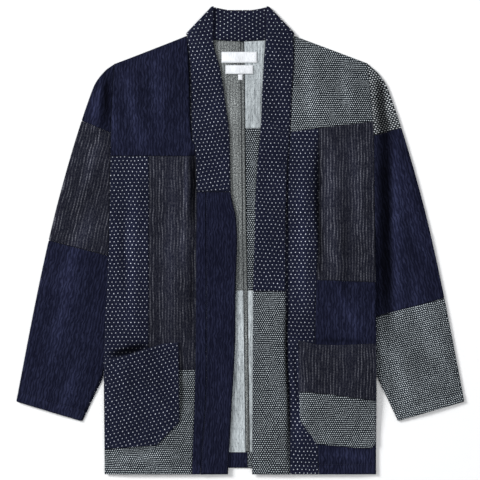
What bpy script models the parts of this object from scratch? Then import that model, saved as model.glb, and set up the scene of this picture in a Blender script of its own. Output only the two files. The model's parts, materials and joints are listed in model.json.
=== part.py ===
# A patchwork haori of sashiko cotton, laid flat on its back with its front up.
# Metres, +Z up. X runs to the right seen from above, Y runs towards the collar.
# R and L are the wearer's right and left, so R lies at negative X.

import math
from collections import namedtuple

import bmesh
import bpy
from mathutils import Vector

# Thicknesses and gaps
CLOTH = 0.0020
COLLAR = 0.0040
FACING = 0.0010
LABEL = 0.0006
SEAM_GAP = 0.0003
EDGE_GAP = SEAM_GAP / 2
NECK_GAP = 0.0006
FOLD_GAP = 0.0008

# Overall lengths
HEM_Y = -0.4216
BACK_HEM_Y = -0.4105
FACING_Y = -0.3820
WAIST_Y = -0.0910

# Heights of the lie: how far each layer stands up from the one below
FRONT_LOFT = 0.0020
SLEEVE_LOFT = 0.0015
POCKET_LOFT = 0.0008
POCKET_GAPE = 0.0020
SIDE_LIFT = 0.0062

# Where the body's side lies up over the sleeve
LIFT_ACROSS = (0.140, 0.215)
LIFT_TOP = (0.110, -0.015)
LIFT_BOTTOM = (-0.385, -0.243)
ARMPIT_Y = 0.035

# The collar turns over at the neck along the line from NECK to PEAK
NECK_X = 0.0955
NECK_Y = 0.3670
PEAK_X = 0.0470
PEAK_Y = 0.4180
NECK_RISE = (0.300, 0.355)

At = namedtuple("At", "y x")
AtX = namedtuple("AtX", "x y")
Across = namedtuple("Across", "part y")
Seam = namedtuple("Seam", "outer_y inner_y")
Tuck = namedtuple("Tuck", "y inward")
Fold = namedtuple("Fold", "x_from y_from x_to y_to half_width height")

# Side edges of the body, from the shoulder point down the armhole and side seam to the hem
SIDE = {
    "R": (At(0.316, -0.227), At(0.192, -0.233), At(0.0, -0.236), At(-0.243, -0.245), At(HEM_Y, -0.244)),
    "L": (At(0.317, 0.229), At(0.187, 0.240), At(0.0, 0.242), At(-0.240, 0.2445), At(HEM_Y, 0.244)),
}
# Where the collar band is sewn to the fronts
COLLAR_SEAM = {
    "R": (At(NECK_Y, -NECK_X), At(0.313, -0.091), At(0.239, -0.090), At(0.183, -0.087), At(0.167, -0.081),
          At(0.086, -0.079)),
    "L": (At(NECK_Y, NECK_X), At(0.321, 0.0965), At(0.266, 0.093), At(0.183, 0.089), At(0.128, 0.085),
          At(0.0, 0.082), At(-0.193, 0.082), At(-0.342, 0.088), At(HEM_Y, 0.089)),
}
# The free edges of the collar band, along the opening
FREE_EDGE = {
    "R": (At(PEAK_Y, -PEAK_X), At(0.357, -0.048), At(0.307, -0.036), At(0.239, -0.0255), At(0.183, -0.019),
          At(0.088, -0.017), At(0.035, -0.007), At(0.0, -0.0055), At(-0.083, -0.008), At(-0.179, -0.009),
          At(-0.292, -0.015), At(HEM_Y, -0.022)),
    "L": (At(PEAK_Y, PEAK_X), At(0.358, 0.045), At(0.321, 0.042), At(0.266, 0.039), At(0.211, 0.037),
          At(0.128, 0.030), At(0.073, 0.027), At(0.0, 0.0255), At(-0.093, 0.023), At(HEM_Y, 0.021)),
}
# The narrow strip beside the right collar band
STRIP_OUTER = (At(0.086, -0.079), At(-0.2345, -0.081), At(HEM_Y, -0.087))
STRIP_INNER = (At(0.086, -0.062), At(-0.237, -0.061), At(HEM_Y, -0.072))

# Seams between the patches of the fronts
R_MIDDLE = (At(0.150, -0.164), At(-0.2345, -0.164))
L_MIDDLE = (At(0.200, 0.141), At(0.0, 0.141), At(-0.072, 0.137), At(-0.182, 0.134), At(HEM_Y, 0.141))
CENTRE_BACK = (At(0.357, 0.003), At(FACING_Y, 0.013), At(BACK_HEM_Y, 0.0135))
CENTRE_STRIP_R = (At(0.357, -0.001), At(FACING_Y, 0.009))
CENTRE_STRIP_L = (At(0.357, 0.007), At(FACING_Y, 0.017))

# Pocket outlines: the edge towards the opening, with the slanted lower corner
POCKET_R_SIDE = (At(-0.184, -0.1105), At(-0.327, -0.109), At(-0.369, -0.149))
POCKET_L_SIDE = (At(-0.181, 0.104), At(-0.273, 0.105), At(-0.325, 0.107), At(-0.367, 0.137))
POCKET_R_MOUTH = (Across(0.0, -0.217), Across(0.28, -0.207), Across(0.56, -0.196), Across(0.78, -0.186),
                  Across(1.0, -0.184))
POCKET_R_BOTTOM = (Across(0.0, -0.3765), Across(1.0, -0.369))
POCKET_L_MOUTH = (Across(0.0, -0.181), Across(0.24, -0.188), Across(0.47, -0.189), Across(1.0, -0.186))
POCKET_L_SEAM = (Across(0.0, -0.273), Across(0.47, -0.279), Across(1.0, -0.290))
POCKET_L_BOTTOM = (Across(0.0, -0.367), Across(0.78, -0.375), Across(0.92, -0.375), Across(1.0, -0.367))

# Back neck: the seam of the collar band and its free top edge
NECK_SEAM = (AtX(-NECK_X, NECK_Y), AtX(-0.038, 0.3585), AtX(0.0, 0.357), AtX(0.044, 0.359),
             AtX(NECK_X, NECK_Y))
NECK_TOP = (AtX(-PEAK_X, PEAK_Y), AtX(-0.016, 0.413), AtX(0.016, 0.413), AtX(PEAK_X, PEAK_Y))

# Sleeves, alike on both sides: the folded outer edge from shoulder to cuff
SLEEVE_OUTER = (At(0.306, 0.241), At(0.294, 0.252), At(0.279, 0.262), At(0.249, 0.2735), At(0.214, 0.2855),
                At(0.156, 0.3035), At(0.068, 0.328), At(0.0, 0.3445), At(-0.105, 0.367), At(-0.291, 0.403))
# How far the underarm seam lies inside the body's side edge, and outside it below the gap
UNDERARM = (Tuck(0.316, 0.0), Tuck(-0.015, 0.0), Tuck(-0.050, 0.009), Tuck(-0.100, 0.017),
            Tuck(-0.160, 0.017), Tuck(-0.205, 0.009), Tuck(-0.243, -0.0005), Tuck(-0.285, -0.0197),
            Tuck(-0.326, -0.0390))
SLEEVE_SEAMS = {
    "R": (Seam(0.306, 0.3155), Seam(0.214, 0.192), Seam(-0.001, -0.029), Seam(-0.291, -0.326)),
    "L": (Seam(0.306, 0.3155), Seam(0.2015, 0.187), Seam(-0.105, -0.143), Seam(-0.291, -0.326)),
}
# Soft folds of the sleeves' upper side
SLEEVE_FOLDS = {
    "R": (Fold(-0.246, 0.285, -0.262, 0.200, 0.008, 0.0012),
          Fold(-0.262, 0.262, -0.276, 0.205, 0.008, 0.0009)),
    "L": (Fold(0.282, 0.195, 0.284, -0.150, 0.011, 0.0014),
          Fold(0.258, 0.190, 0.258, -0.150, 0.012, -0.0014)),
}
MOST_GAP = 0.0039

# Rings of a sleeve: columns over the back wall, round the fold and over the front wall
RING_BACK = 3
RING_FOLD = 4
RING_FRONT = 9
RING = RING_BACK + RING_FOLD + RING_FRONT
COLLAR_COLUMNS = 3
NECK_FOLD_ROWS = 6
ROW_LENGTH = 0.024

CLOTHS = {
    "navy_sashiko": ((0.016, 0.017, 0.050, 1.0), 0.85),
    "dotted_navy": ((0.012, 0.013, 0.030, 1.0), 0.85),
    "striped_navy": ((0.017, 0.018, 0.030, 1.0), 0.80),
    "fine_check": ((0.150, 0.170, 0.165, 1.0), 0.85),
    "grey_reverse": ((0.170, 0.185, 0.180, 1.0), 0.90),
    "pale_reverse": ((0.430, 0.490, 0.540, 1.0), 0.90),
    "blank_label": ((0.750, 0.770, 0.800, 1.0), 0.60),
}


def read(rows, at):
    """Read a two-column table at one place, in a straight line between its rows."""
    rows = sorted(rows)
    for (low, low_value), (high, high_value) in zip(rows, rows[1:]):
        if at <= high:
            break
    share = min(1.0, max(0.0, (at - low) / (high - low)))
    return low_value + (high_value - low_value) * share


def ramp(value, start, end):
    """Rise softly from 0 at start to 1 at end."""
    share = min(1.0, max(0.0, (value - start) / (end - start)))
    return share * share * (3.0 - 2.0 * share)


def mix(first, second, share):
    return first + (second - first) * share


def side_sign(side):
    return -1.0 if side == "R" else 1.0


# Heights of the layers

def lift_along(y):
    """How much of the full lift the body's side has at this height of the garment."""
    return ramp(y, *LIFT_TOP) * ramp(y, *LIFT_BOTTOM)


def back_floor(x, y):
    """Underside of the back: flat, but lifted at the sides where it lies over the sleeves."""
    return SIDE_LIFT * ramp(abs(x), *LIFT_ACROSS) * lift_along(y)


def facing_floor(x, y):
    return back_floor(x, y) + CLOTH + SEAM_GAP


def label_floor(x, y):
    return facing_floor(x, y) + FACING + SEAM_GAP


def front_floor(x, y):
    """Underside of the fronts: close to the back at its seams, lofted between them."""
    side = "R" if x < 0 else "L"
    from_side = abs(read(SIDE[side], y)) - abs(x)
    shoulder_y = mix(NECK_Y, SIDE[side][0].y, (abs(x) - NECK_X) / (abs(SIDE[side][0].x) - NECK_X))
    from_shoulder = min(shoulder_y, NECK_Y) - y
    from_opening = abs(x - read(FREE_EDGE[side], y))
    loft = ramp(from_side, 0.0, 0.045) * ramp(from_shoulder, 0.0, 0.035)
    loft *= mix(0.4, 1.0, ramp(from_opening, 0.0, 0.070))
    hem_rise = (FACING + SEAM_GAP) * ramp(y, FACING_Y + 0.040, FACING_Y)
    return facing_floor(x, y) + FRONT_LOFT * loft + hem_rise


def collar_floor(x, y):
    """Underside of the front bands, which rise over the back band at the neck."""
    return mix(front_floor(x, y), COLLAR + NECK_GAP, ramp(y, *NECK_RISE))


def pocket_floor(x, y, across, mouth_y, bottom_y):
    """Underside of a pocket: sewn down round its edge, slightly open at its mouth."""
    depth = min(1.0, max(0.0, (y - bottom_y) / (mouth_y - bottom_y)))
    bulge = 4.0 * across * (1.0 - across)
    puff = POCKET_LOFT * math.sin(math.pi * min(depth, 0.5)) + POCKET_GAPE * depth ** 6
    return front_floor(x, y) + CLOTH + SEAM_GAP + puff * bulge


# Building

def cloth_wall(name, cloth, columns, rows, place):
    """Make a closed wall. place(u, v, skin) gives a point of the first or second skin."""
    mesh = bpy.data.meshes.new(name)
    wall = bmesh.new()
    bmesh.ops.create_grid(wall, x_segments=columns, y_segments=rows, size=0.5)
    extruded = bmesh.ops.extrude_face_region(wall, geom=wall.faces[:])["geom"]
    second = {part for part in extruded if isinstance(part, bmesh.types.BMVert)}
    for vertex in wall.verts:
        skin = 1 if vertex in second else 0
        vertex.co = place(vertex.co.x + 0.5, vertex.co.y + 0.5, skin)
    bmesh.ops.triangulate(wall, faces=wall.faces[:])
    bmesh.ops.recalc_face_normals(wall, faces=wall.faces[:])
    wall.to_mesh(mesh)
    wall.free()
    mesh.materials.append(bpy.data.materials[cloth])
    piece = bpy.data.objects.new(name, mesh)
    bpy.context.scene.collection.objects.link(piece)
    mesh.shade_smooth()
    mesh.set_sharp_from_angle(angle=math.radians(40))
    return piece


def rows_between(low_y, high_y, edge=()):
    """Share out rows from low to high, with one at each corner of the edge that they follow."""
    corners = sorted(corner.y for corner in edge if low_y + 0.004 < corner.y < high_y - 0.004)
    stops = [low_y, *corners, high_y]
    shares = [0.0]
    for start, end in zip(stops, stops[1:]):
        count = max(1, round((end - start) / ROW_LENGTH))
        shares += [(mix(start, end, step / count) - low_y) / (high_y - low_y) for step in range(1, count + 1)]
    return [(index / (len(shares) - 1), share) for index, share in enumerate(shares)]


def panel(name, cloth, left, right, low, high, floor, columns, thickness=CLOTH, crowd=None, follow=None):
    """Make a flat patch between two side edges and two cross edges, standing on a floor height."""
    near = 0.0 if follow is left else 1.0
    rows = rows_between(read(low, near), read(high, near), follow or ())

    def place(u, v, skin):
        across = crowd(u) if crowd else u
        y = mix(read(low, across) + EDGE_GAP, read(high, across) - EDGE_GAP, read(rows, v))
        x = mix(read(left, y) + EDGE_GAP, read(right, y) - EDGE_GAP, across)
        return Vector((x, y, floor(x, y, across) + thickness * skin))

    cloth_wall(name, cloth, columns, len(rows) - 1, place)


def on(floor):
    """Let a floor height that needs only the place serve a panel."""
    return lambda x, y, across: floor(x, y)


def level(y):
    return (Across(0.0, y), Across(1.0, y))


def sloped(left_y, right_y):
    return (Across(0.0, left_y), Across(1.0, right_y))


def back_columns(side):
    """Give the places of the back's columns, as shares of its width from the middle to the side.

    They meet the corners of the neck seam, and crowd in the lifted side."""
    middle, edge = CENTRE_BACK[0].x, SIDE[side][0].x
    shares = sorted((corner.x - middle) / (edge - middle) for corner in NECK_SEAM)
    inner, outer = [share for share in shares if share > 0.05]
    return [0.0, inner, (inner + outer) / 2, outer, 0.58, 0.69, 0.80, 0.90, 1.0]


def back_crowd(side):
    """Spread the back's columns, counted from the left edge of the panel to its right edge."""
    places = back_columns(side)
    steps = [(index / (len(places) - 1), share) for index, share in enumerate(places)]
    if side == "R":
        return lambda u: 1.0 - read(steps, 1.0 - u)
    return lambda u: read(steps, u)


def back_top(side):
    """Give the top edge of one half of the back: the neck seam, then the shoulder line."""
    places = back_columns(side)
    half = [corner for corner in NECK_SEAM if corner.x * side_sign(side) >= 0]
    half.sort(key=lambda corner: abs(corner.x))
    heights = [corner.y for corner in half] + [SIDE[side][0].y]
    shares = [0.0, places[1], places[3], 1.0]
    if side == "R":
        return [Across(1.0 - share, y) for share, y in zip(shares, heights)]
    return [Across(share, y) for share, y in zip(shares, heights)]


# The fronts

def make_fronts():
    side_r, side_l = SIDE["R"], SIDE["L"]
    floor = on(front_floor)
    shoulder_r = sloped(0.316, NECK_Y)
    seam_r = COLLAR_SEAM["R"] + STRIP_OUTER[1:]
    panel("front_R_shoulder_navy", "navy_sashiko", side_r, seam_r, level(0.150), shoulder_r, floor, 7,
          follow=seam_r)
    panel("front_R_dots", "dotted_navy", side_r, R_MIDDLE, level(-0.2345), level(0.150), floor, 5)
    panel("front_R_stripes", "striped_navy", R_MIDDLE, seam_r, level(-0.2345), level(0.150), floor, 4,
          follow=seam_r)
    panel("front_R_hem_check", "fine_check", side_r, STRIP_OUTER, level(HEM_Y), level(-0.2345), floor, 10)
    panel("front_R_edge_navy", "navy_sashiko", STRIP_OUTER, STRIP_INNER, level(HEM_Y), level(0.086), floor, 1)

    seam_l = COLLAR_SEAM["L"]
    shoulder_low = sloped(0.194, 0.2125)
    shoulder_l = sloped(NECK_Y, 0.317)
    panel("front_L_shoulder_check", "fine_check", seam_l, side_l, shoulder_low, shoulder_l, floor, 7,
          follow=seam_l)
    dots_high = sloped(0.194, 0.2004)
    panel("front_L_dots", "dotted_navy", seam_l, L_MIDDLE, level(HEM_Y), dots_high, floor, 3, follow=seam_l)
    navy_high = sloped(-0.072, -0.076)
    panel("front_L_stripes", "striped_navy", L_MIDDLE, side_l, navy_high, sloped(0.2004, 0.2125), floor, 7)
    panel("front_L_navy", "navy_sashiko", L_MIDDLE, side_l, level(HEM_Y), navy_high, floor, 7)


def make_pockets():
    def floor_r(x, y, across):
        return pocket_floor(x, y, across, read(POCKET_R_MOUTH, across), read(POCKET_R_BOTTOM, across))

    def floor_l(x, y, across):
        return pocket_floor(x, y, across, read(POCKET_L_MOUTH, across), read(POCKET_L_BOTTOM, across))

    edge_r, edge_l = POCKET_R_SIDE, POCKET_L_SIDE
    panel("pocket_R_dots", "dotted_navy", SIDE["R"], edge_r, POCKET_R_BOTTOM, POCKET_R_MOUTH, floor_r, 8,
          follow=edge_r)
    panel("pocket_L_stripes", "striped_navy", edge_l, SIDE["L"], POCKET_L_SEAM, POCKET_L_MOUTH, floor_l, 8)
    panel("pocket_L_check", "fine_check", edge_l, SIDE["L"], POCKET_L_BOTTOM, POCKET_L_SEAM, floor_l, 8,
          follow=edge_l)


# The back

def make_back():
    floor = on(back_floor)
    side_r, side_l = SIDE["R"], SIDE["L"]
    waist, hem, check = level(WAIST_Y), level(BACK_HEM_Y), level(0.200)
    crowd_r, crowd_l = back_crowd("R"), back_crowd("L")
    panel("back_R_upper", "grey_reverse", side_r, CENTRE_BACK, waist, back_top("R"), floor, 8, crowd=crowd_r)
    panel("back_R_lower", "pale_reverse", side_r, CENTRE_BACK, hem, waist, floor, 8, crowd=crowd_r)
    panel("back_L_upper", "pale_reverse", CENTRE_BACK, side_l, check, back_top("L"), floor, 8, crowd=crowd_l)
    panel("back_L_middle", "fine_check", CENTRE_BACK, side_l, waist, check, floor, 8, crowd=crowd_l)
    panel("back_L_lower", "pale_reverse", CENTRE_BACK, side_l, hem, waist, floor, 8, crowd=crowd_l)

    on_back = on(facing_floor)
    top = level(FACING_Y)
    panel("back_hem_R", "navy_sashiko", side_r, CENTRE_BACK, hem, top, on_back, 8, FACING, crowd_r)
    panel("back_hem_L", "fine_check", CENTRE_BACK, side_l, hem, top, on_back, 8, FACING, crowd_l)
    panel("back_centre_seam", "grey_reverse", CENTRE_STRIP_R, CENTRE_STRIP_L, top, level(0.3565), on_back, 1,
          FACING)


def make_labels():
    for name, left_x, right_x, low_y, high_y in (
        ("label_main", -0.034, 0.030, 0.318, 0.338),
        ("label_second", -0.027, 0.023, 0.298, 0.314),
        ("label_size", -0.004, 0.004, 0.287, 0.2975),
    ):
        left = (At(low_y, left_x), At(high_y, left_x))
        right = (At(low_y, right_x), At(high_y, right_x))
        panel(name, "blank_label", left, right, level(low_y), level(high_y), on(label_floor), 2, LABEL)


# The collar band

def front_band(name, cloth, side, low_y, high_y, seam_rows):
    """Make a flat stretch of a front band, between its seam and its free edge."""
    left, right = (seam_rows, FREE_EDGE[side]) if side == "R" else (FREE_EDGE[side], seam_rows)
    panel(name, cloth, left, right, level(low_y), level(high_y), on(collar_floor), COLLAR_COLUMNS, COLLAR,
          follow=seam_rows)


def neck_band(name, cloth, side, low_y):
    """Make the top stretch of a front band, with its half turn at the neck."""
    sign = side_sign(side)
    neck = Vector((sign * NECK_X, NECK_Y))
    peak = Vector((sign * PEAK_X, PEAK_Y))
    along = (peak - neck).normalized()
    outward = Vector((along.y, -along.x)) * sign
    rows = rows_between(low_y, NECK_Y, COLLAR_SEAM[side])
    flat_rows = len(rows) - 1
    all_rows = flat_rows + NECK_FOLD_ROWS
    middle_z = COLLAR + NECK_GAP / 2

    def place(u, v, skin):
        row = v * all_rows
        raised = read(rows, min(1.0, row / flat_rows))
        seam_y = mix(low_y + EDGE_GAP, NECK_Y, raised)
        free_y = mix(low_y + EDGE_GAP, PEAK_Y, raised)
        seam_point = Vector((read(COLLAR_SEAM[side], seam_y) - sign * EDGE_GAP, seam_y))
        free_point = Vector((read(FREE_EDGE[side], free_y), free_y))
        point = seam_point.lerp(free_point, u)
        if row <= flat_rows:
            return Vector((point.x, point.y, collar_floor(point.x, point.y) + COLLAR * (1 - skin)))
        turn = math.pi * (row - flat_rows) / NECK_FOLD_ROWS
        radius = NECK_GAP / 2 + COLLAR * (1 - skin)
        point += outward * radius * math.sin(turn)
        return Vector((point.x, point.y, middle_z + radius * math.cos(turn)))

    cloth_wall(name, cloth, COLLAR_COLUMNS, all_rows, place)


def back_band(name, cloth):
    """Make the band behind the neck, from one half turn to the other."""
    inset = 2 * SEAM_GAP

    def place(u, v, skin):
        seam_x = mix(-NECK_X + inset, NECK_X - inset, u)
        top_x = mix(-PEAK_X + inset, PEAK_X - inset, u)
        seam = Vector((seam_x, read(NECK_SEAM, seam_x) + EDGE_GAP))
        top = Vector((top_x, read(NECK_TOP, top_x)))
        point = seam.lerp(top, v)
        return Vector((point.x, point.y, COLLAR * skin))

    cloth_wall(name, cloth, 12, 3, place)


def make_collar():
    front_band("collar_R_navy", "navy_sashiko", "R", HEM_Y, 0.086, STRIP_INNER)
    front_band("collar_L_check", "fine_check", "L", HEM_Y, -0.093, COLLAR_SEAM["L"])
    neck_band("collar_R_dots", "dotted_navy", "R", 0.086)
    neck_band("collar_L_dots", "dotted_navy", "L", -0.093)
    back_band("collar_back", "dotted_navy")


# The sleeves

def sleeve_follow(inner_y, distance):
    """Keep the sleeve level with the lifted body at the armpit, and let it down below."""
    height = SIDE_LIFT * lift_along(inner_y) * ramp(inner_y, LIFT_TOP[1], ARMPIT_Y)
    return height * (1.0 - ramp(distance, 0.0, 0.050))


def fold_height(side, x, y):
    """Height that the soft folds add at one place of a sleeve's upper side."""
    height = 0.0
    for fold in SLEEVE_FOLDS[side]:
        start = Vector((fold.x_from, fold.y_from))
        run = Vector((fold.x_to, fold.y_to)) - start
        offset = Vector((x, y)) - start
        share = min(1.0, max(0.0, offset.dot(run) / run.length_squared))
        away = (offset - run * share).length / fold.half_width
        height += fold.height * math.exp(-away * away)
    return height


def sleeve_gap(side, x, y, share, width):
    """Height of the hollow between a sleeve's two walls."""
    arch = math.sin(math.pi * share) ** 0.8
    gap = mix(SEAM_GAP, FOLD_GAP, ramp(share, 0.0, 1.0)) + SLEEVE_LOFT * arch * ramp(width, 0.010, 0.070)
    gap += fold_height(side, x, y) * arch
    return min(MOST_GAP, max(SEAM_GAP, gap))


def sleeve_part(name, cloth, side, seams, columns=(0, RING), front_inset=0.0):
    """Wrap a sleeve part from the back wall's underarm edge round the fold to the front's."""
    sign = side_sign(side)
    upper, lower = seams
    radius_out = CLOTH + FOLD_GAP / 2
    middle_z = CLOTH + FOLD_GAP / 2
    split = SEAM_GAP / radius_out
    low_turn = math.pi / 2 + split if columns[0] > 0 else 0.0
    high_turn = math.pi / 2 - split if columns[1] < RING else math.pi

    def place(u, v, skin):
        outer_y = mix(lower.outer_y + EDGE_GAP, upper.outer_y - EDGE_GAP, v)
        inner_y = mix(lower.inner_y + EDGE_GAP, upper.inner_y - EDGE_GAP, v)
        column = mix(columns[0], columns[1], u)
        on_front = column > RING_BACK + RING_FOLD / 2
        outer = Vector((sign * read(SLEEVE_OUTER, outer_y), outer_y))
        inner_x = read(SIDE[side], inner_y) + sign * (EDGE_GAP - read(UNDERARM, inner_y))
        inner = Vector((inner_x + (sign * front_inset if on_front else 0.0), inner_y))
        width = (outer - inner).length
        along = (outer - inner).normalized()
        flat_end = width - radius_out
        if RING_BACK < column < RING_BACK + RING_FOLD:
            turn = math.pi * (column - RING_BACK) / RING_FOLD
            turn = min(high_turn, max(low_turn, turn))
            radius = FOLD_GAP / 2 + CLOTH * (1 - skin)
            point = inner + along * (flat_end + radius * math.sin(turn))
            return Vector((point.x, point.y, middle_z - radius * math.cos(turn)))
        if column <= RING_BACK:
            share = column / RING_BACK
            height = CLOTH * skin
        else:
            share = (RING - column) / RING_FRONT
            height = 0.0
        point = inner + along * (flat_end * share)
        if column > RING_BACK:
            height = CLOTH + sleeve_gap(side, point.x, point.y, share, width) + CLOTH * (1 - skin)
        return Vector((point.x, point.y, height + sleeve_follow(inner_y, flat_end * share)))

    length = (upper.outer_y - lower.outer_y + upper.inner_y - lower.inner_y) / 2
    cloth_wall(name, cloth, columns[1] - columns[0], max(1, round(length / ROW_LENGTH)), place)


def make_sleeves():
    right, left = SLEEVE_SEAMS["R"], SLEEVE_SEAMS["L"]
    half = RING_BACK + RING_FOLD // 2
    sleeve_part("sleeve_R_top_navy", "navy_sashiko", "R", right[0:2])
    sleeve_part("sleeve_R_stripes", "striped_navy", "R", right[1:3])
    sleeve_part("sleeve_R_cuff_dots", "dotted_navy", "R", right[2:4], (0, half))
    sleeve_part("sleeve_R_cuff_navy", "navy_sashiko", "R", right[2:4], (half, RING), front_inset=0.003)
    sleeve_part("sleeve_L_top_check", "fine_check", "L", left[0:2])
    sleeve_part("sleeve_L_navy", "navy_sashiko", "L", left[1:3])
    sleeve_part("sleeve_L_cuff_check", "fine_check", "L", left[2:4])


def make_cloths():
    for name, (color, roughness) in CLOTHS.items():
        material = bpy.data.materials.new(name)
        material.use_nodes = True
        shader = material.node_tree.nodes["Principled BSDF"]
        shader.inputs["Base Color"].default_value = color
        shader.inputs["Roughness"].default_value = roughness
        shader.inputs["Metallic"].default_value = 0.0


for leftover in list(bpy.data.objects):
    bpy.data.objects.remove(leftover)

make_cloths()
make_back()
make_labels()
make_fronts()
make_pockets()
make_collar()
make_sleeves()
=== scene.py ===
import json
import math
from collections import namedtuple

import bmesh
import bpy
import numpy as np
from mathutils import Matrix, Vector
from mathutils.bvhtree import BVHTree

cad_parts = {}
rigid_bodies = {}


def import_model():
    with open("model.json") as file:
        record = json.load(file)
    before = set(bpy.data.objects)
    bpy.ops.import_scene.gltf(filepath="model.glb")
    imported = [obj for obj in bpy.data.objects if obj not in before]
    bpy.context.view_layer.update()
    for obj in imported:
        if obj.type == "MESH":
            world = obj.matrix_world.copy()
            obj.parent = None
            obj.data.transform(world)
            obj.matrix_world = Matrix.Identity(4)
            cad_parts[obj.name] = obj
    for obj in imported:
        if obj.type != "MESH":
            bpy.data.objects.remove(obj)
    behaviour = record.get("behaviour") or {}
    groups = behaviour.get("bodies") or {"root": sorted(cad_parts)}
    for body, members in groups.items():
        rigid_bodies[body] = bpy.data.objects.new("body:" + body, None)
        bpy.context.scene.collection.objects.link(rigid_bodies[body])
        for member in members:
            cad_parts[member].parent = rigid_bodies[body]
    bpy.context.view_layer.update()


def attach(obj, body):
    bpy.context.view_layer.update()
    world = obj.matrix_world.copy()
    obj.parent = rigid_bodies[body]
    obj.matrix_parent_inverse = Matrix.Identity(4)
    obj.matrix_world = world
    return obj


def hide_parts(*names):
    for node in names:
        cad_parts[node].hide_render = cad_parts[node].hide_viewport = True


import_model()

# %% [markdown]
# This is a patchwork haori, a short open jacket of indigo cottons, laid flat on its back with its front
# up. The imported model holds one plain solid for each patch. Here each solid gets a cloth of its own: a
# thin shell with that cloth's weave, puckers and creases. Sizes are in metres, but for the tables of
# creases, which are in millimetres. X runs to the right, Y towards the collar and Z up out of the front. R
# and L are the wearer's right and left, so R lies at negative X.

# %% [markdown]
# The outlines of the patches are short tables, the same as those of the solids, so that every cloth lies
# where its solid lies. A row gives one corner of a seam. Between the rows a seam could run straight, as it
# does on the solids, but a real seam bends softly, so it is read along a smooth curve through the same
# corners.

# %% Lengths and heights of the layers
CLOTH = 0.0020
COLLAR = 0.0040
FACING = 0.0010
SEAM_GAP = 0.0003
HALF_SEAM = SEAM_GAP / 2
HEM_Y = -0.4216
BACK_HEM_Y = -0.4105
FACING_Y = -0.3820
WAIST_Y = -0.0910
NECK_X = 0.0955
NECK_Y = 0.3670
PEAK_X = 0.0470
PEAK_Y = 0.4180
COLLAR_SPLIT = {"R": 0.086, "L": -0.093}
print("cloth", round(1000 * CLOTH, 1), "mm thick, the doubled collar band", round(1000 * COLLAR, 1), "mm")

# %% Outlines of the patches
At = namedtuple("At", "y x")
AtX = namedtuple("AtX", "x y")
Across = namedtuple("Across", "part y")
Seam = namedtuple("Seam", "outer_y inner_y")
Tuck = namedtuple("Tuck", "y inward")

SIDE = {
    "R": (At(0.316, -0.227), At(0.192, -0.233), At(0.0, -0.236), At(-0.243, -0.245), At(HEM_Y, -0.244)),
    "L": (At(0.317, 0.229), At(0.187, 0.240), At(0.0, 0.242), At(-0.240, 0.2445), At(HEM_Y, 0.244)),
}
COLLAR_SEAM = {
    "R": (At(NECK_Y, -NECK_X), At(0.313, -0.091), At(0.239, -0.090), At(0.183, -0.087), At(0.167, -0.081),
          At(0.086, -0.079)),
    "L": (At(NECK_Y, NECK_X), At(0.321, 0.0965), At(0.266, 0.093), At(0.183, 0.089), At(0.128, 0.085),
          At(0.0, 0.082), At(-0.193, 0.082), At(-0.342, 0.088), At(HEM_Y, 0.089)),
}
FREE_EDGE = {
    "R": (At(PEAK_Y, -PEAK_X), At(0.357, -0.048), At(0.307, -0.036), At(0.239, -0.0255), At(0.183, -0.019),
          At(0.088, -0.017), At(0.035, -0.007), At(0.0, -0.0055), At(-0.083, -0.008), At(-0.179, -0.009),
          At(-0.292, -0.015), At(HEM_Y, -0.022)),
    "L": (At(PEAK_Y, PEAK_X), At(0.358, 0.045), At(0.321, 0.042), At(0.266, 0.039), At(0.211, 0.037),
          At(0.128, 0.030), At(0.073, 0.027), At(0.0, 0.0255), At(-0.093, 0.023), At(HEM_Y, 0.021)),
}
STRIP_OUTER = (At(0.086, -0.079), At(-0.2345, -0.081), At(HEM_Y, -0.087))
STRIP_INNER = (At(0.086, -0.062), At(-0.237, -0.061), At(HEM_Y, -0.072))
R_MIDDLE = (At(0.150, -0.164), At(-0.2345, -0.164))
L_MIDDLE = (At(0.200, 0.141), At(0.0, 0.141), At(-0.072, 0.137), At(-0.182, 0.134), At(HEM_Y, 0.141))
CENTRE_BACK = (At(0.357, 0.003), At(FACING_Y, 0.013), At(BACK_HEM_Y, 0.0135))
POCKET_R_SIDE = (At(-0.184, -0.1105), At(-0.327, -0.109), At(-0.369, -0.149))
POCKET_L_SIDE = (At(-0.181, 0.104), At(-0.273, 0.105), At(-0.325, 0.107), At(-0.367, 0.137))
POCKET_R_MOUTH = (Across(0.0, -0.217), Across(0.28, -0.207), Across(0.56, -0.196), Across(0.78, -0.186),
                  Across(1.0, -0.184))
POCKET_R_BOTTOM = (Across(0.0, -0.3765), Across(1.0, -0.369))
POCKET_L_MOUTH = (Across(0.0, -0.181), Across(0.24, -0.188), Across(0.47, -0.189), Across(1.0, -0.186))
POCKET_L_SEAM = (Across(0.0, -0.273), Across(0.47, -0.279), Across(1.0, -0.290))
POCKET_L_BOTTOM = (Across(0.0, -0.367), Across(0.78, -0.375), Across(0.92, -0.375), Across(1.0, -0.367))
NECK_SEAM = (AtX(-NECK_X, NECK_Y), AtX(-0.038, 0.3585), AtX(0.0, 0.357), AtX(0.044, 0.359),
             AtX(NECK_X, NECK_Y))
NECK_TOP = (AtX(-PEAK_X, PEAK_Y), AtX(-0.016, 0.413), AtX(0.016, 0.413), AtX(PEAK_X, PEAK_Y))
SLEEVE_OUTER = (At(0.306, 0.241), At(0.294, 0.252), At(0.279, 0.262), At(0.249, 0.2735), At(0.214, 0.2855),
                At(0.156, 0.3035), At(0.068, 0.328), At(0.0, 0.3445), At(-0.105, 0.367), At(-0.291, 0.403))
UNDERARM = (Tuck(0.316, 0.0), Tuck(-0.015, 0.0), Tuck(-0.050, 0.009), Tuck(-0.100, 0.017),
            Tuck(-0.160, 0.017), Tuck(-0.205, 0.009), Tuck(-0.243, -0.0005), Tuck(-0.285, -0.0197),
            Tuck(-0.326, -0.0390))
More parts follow.
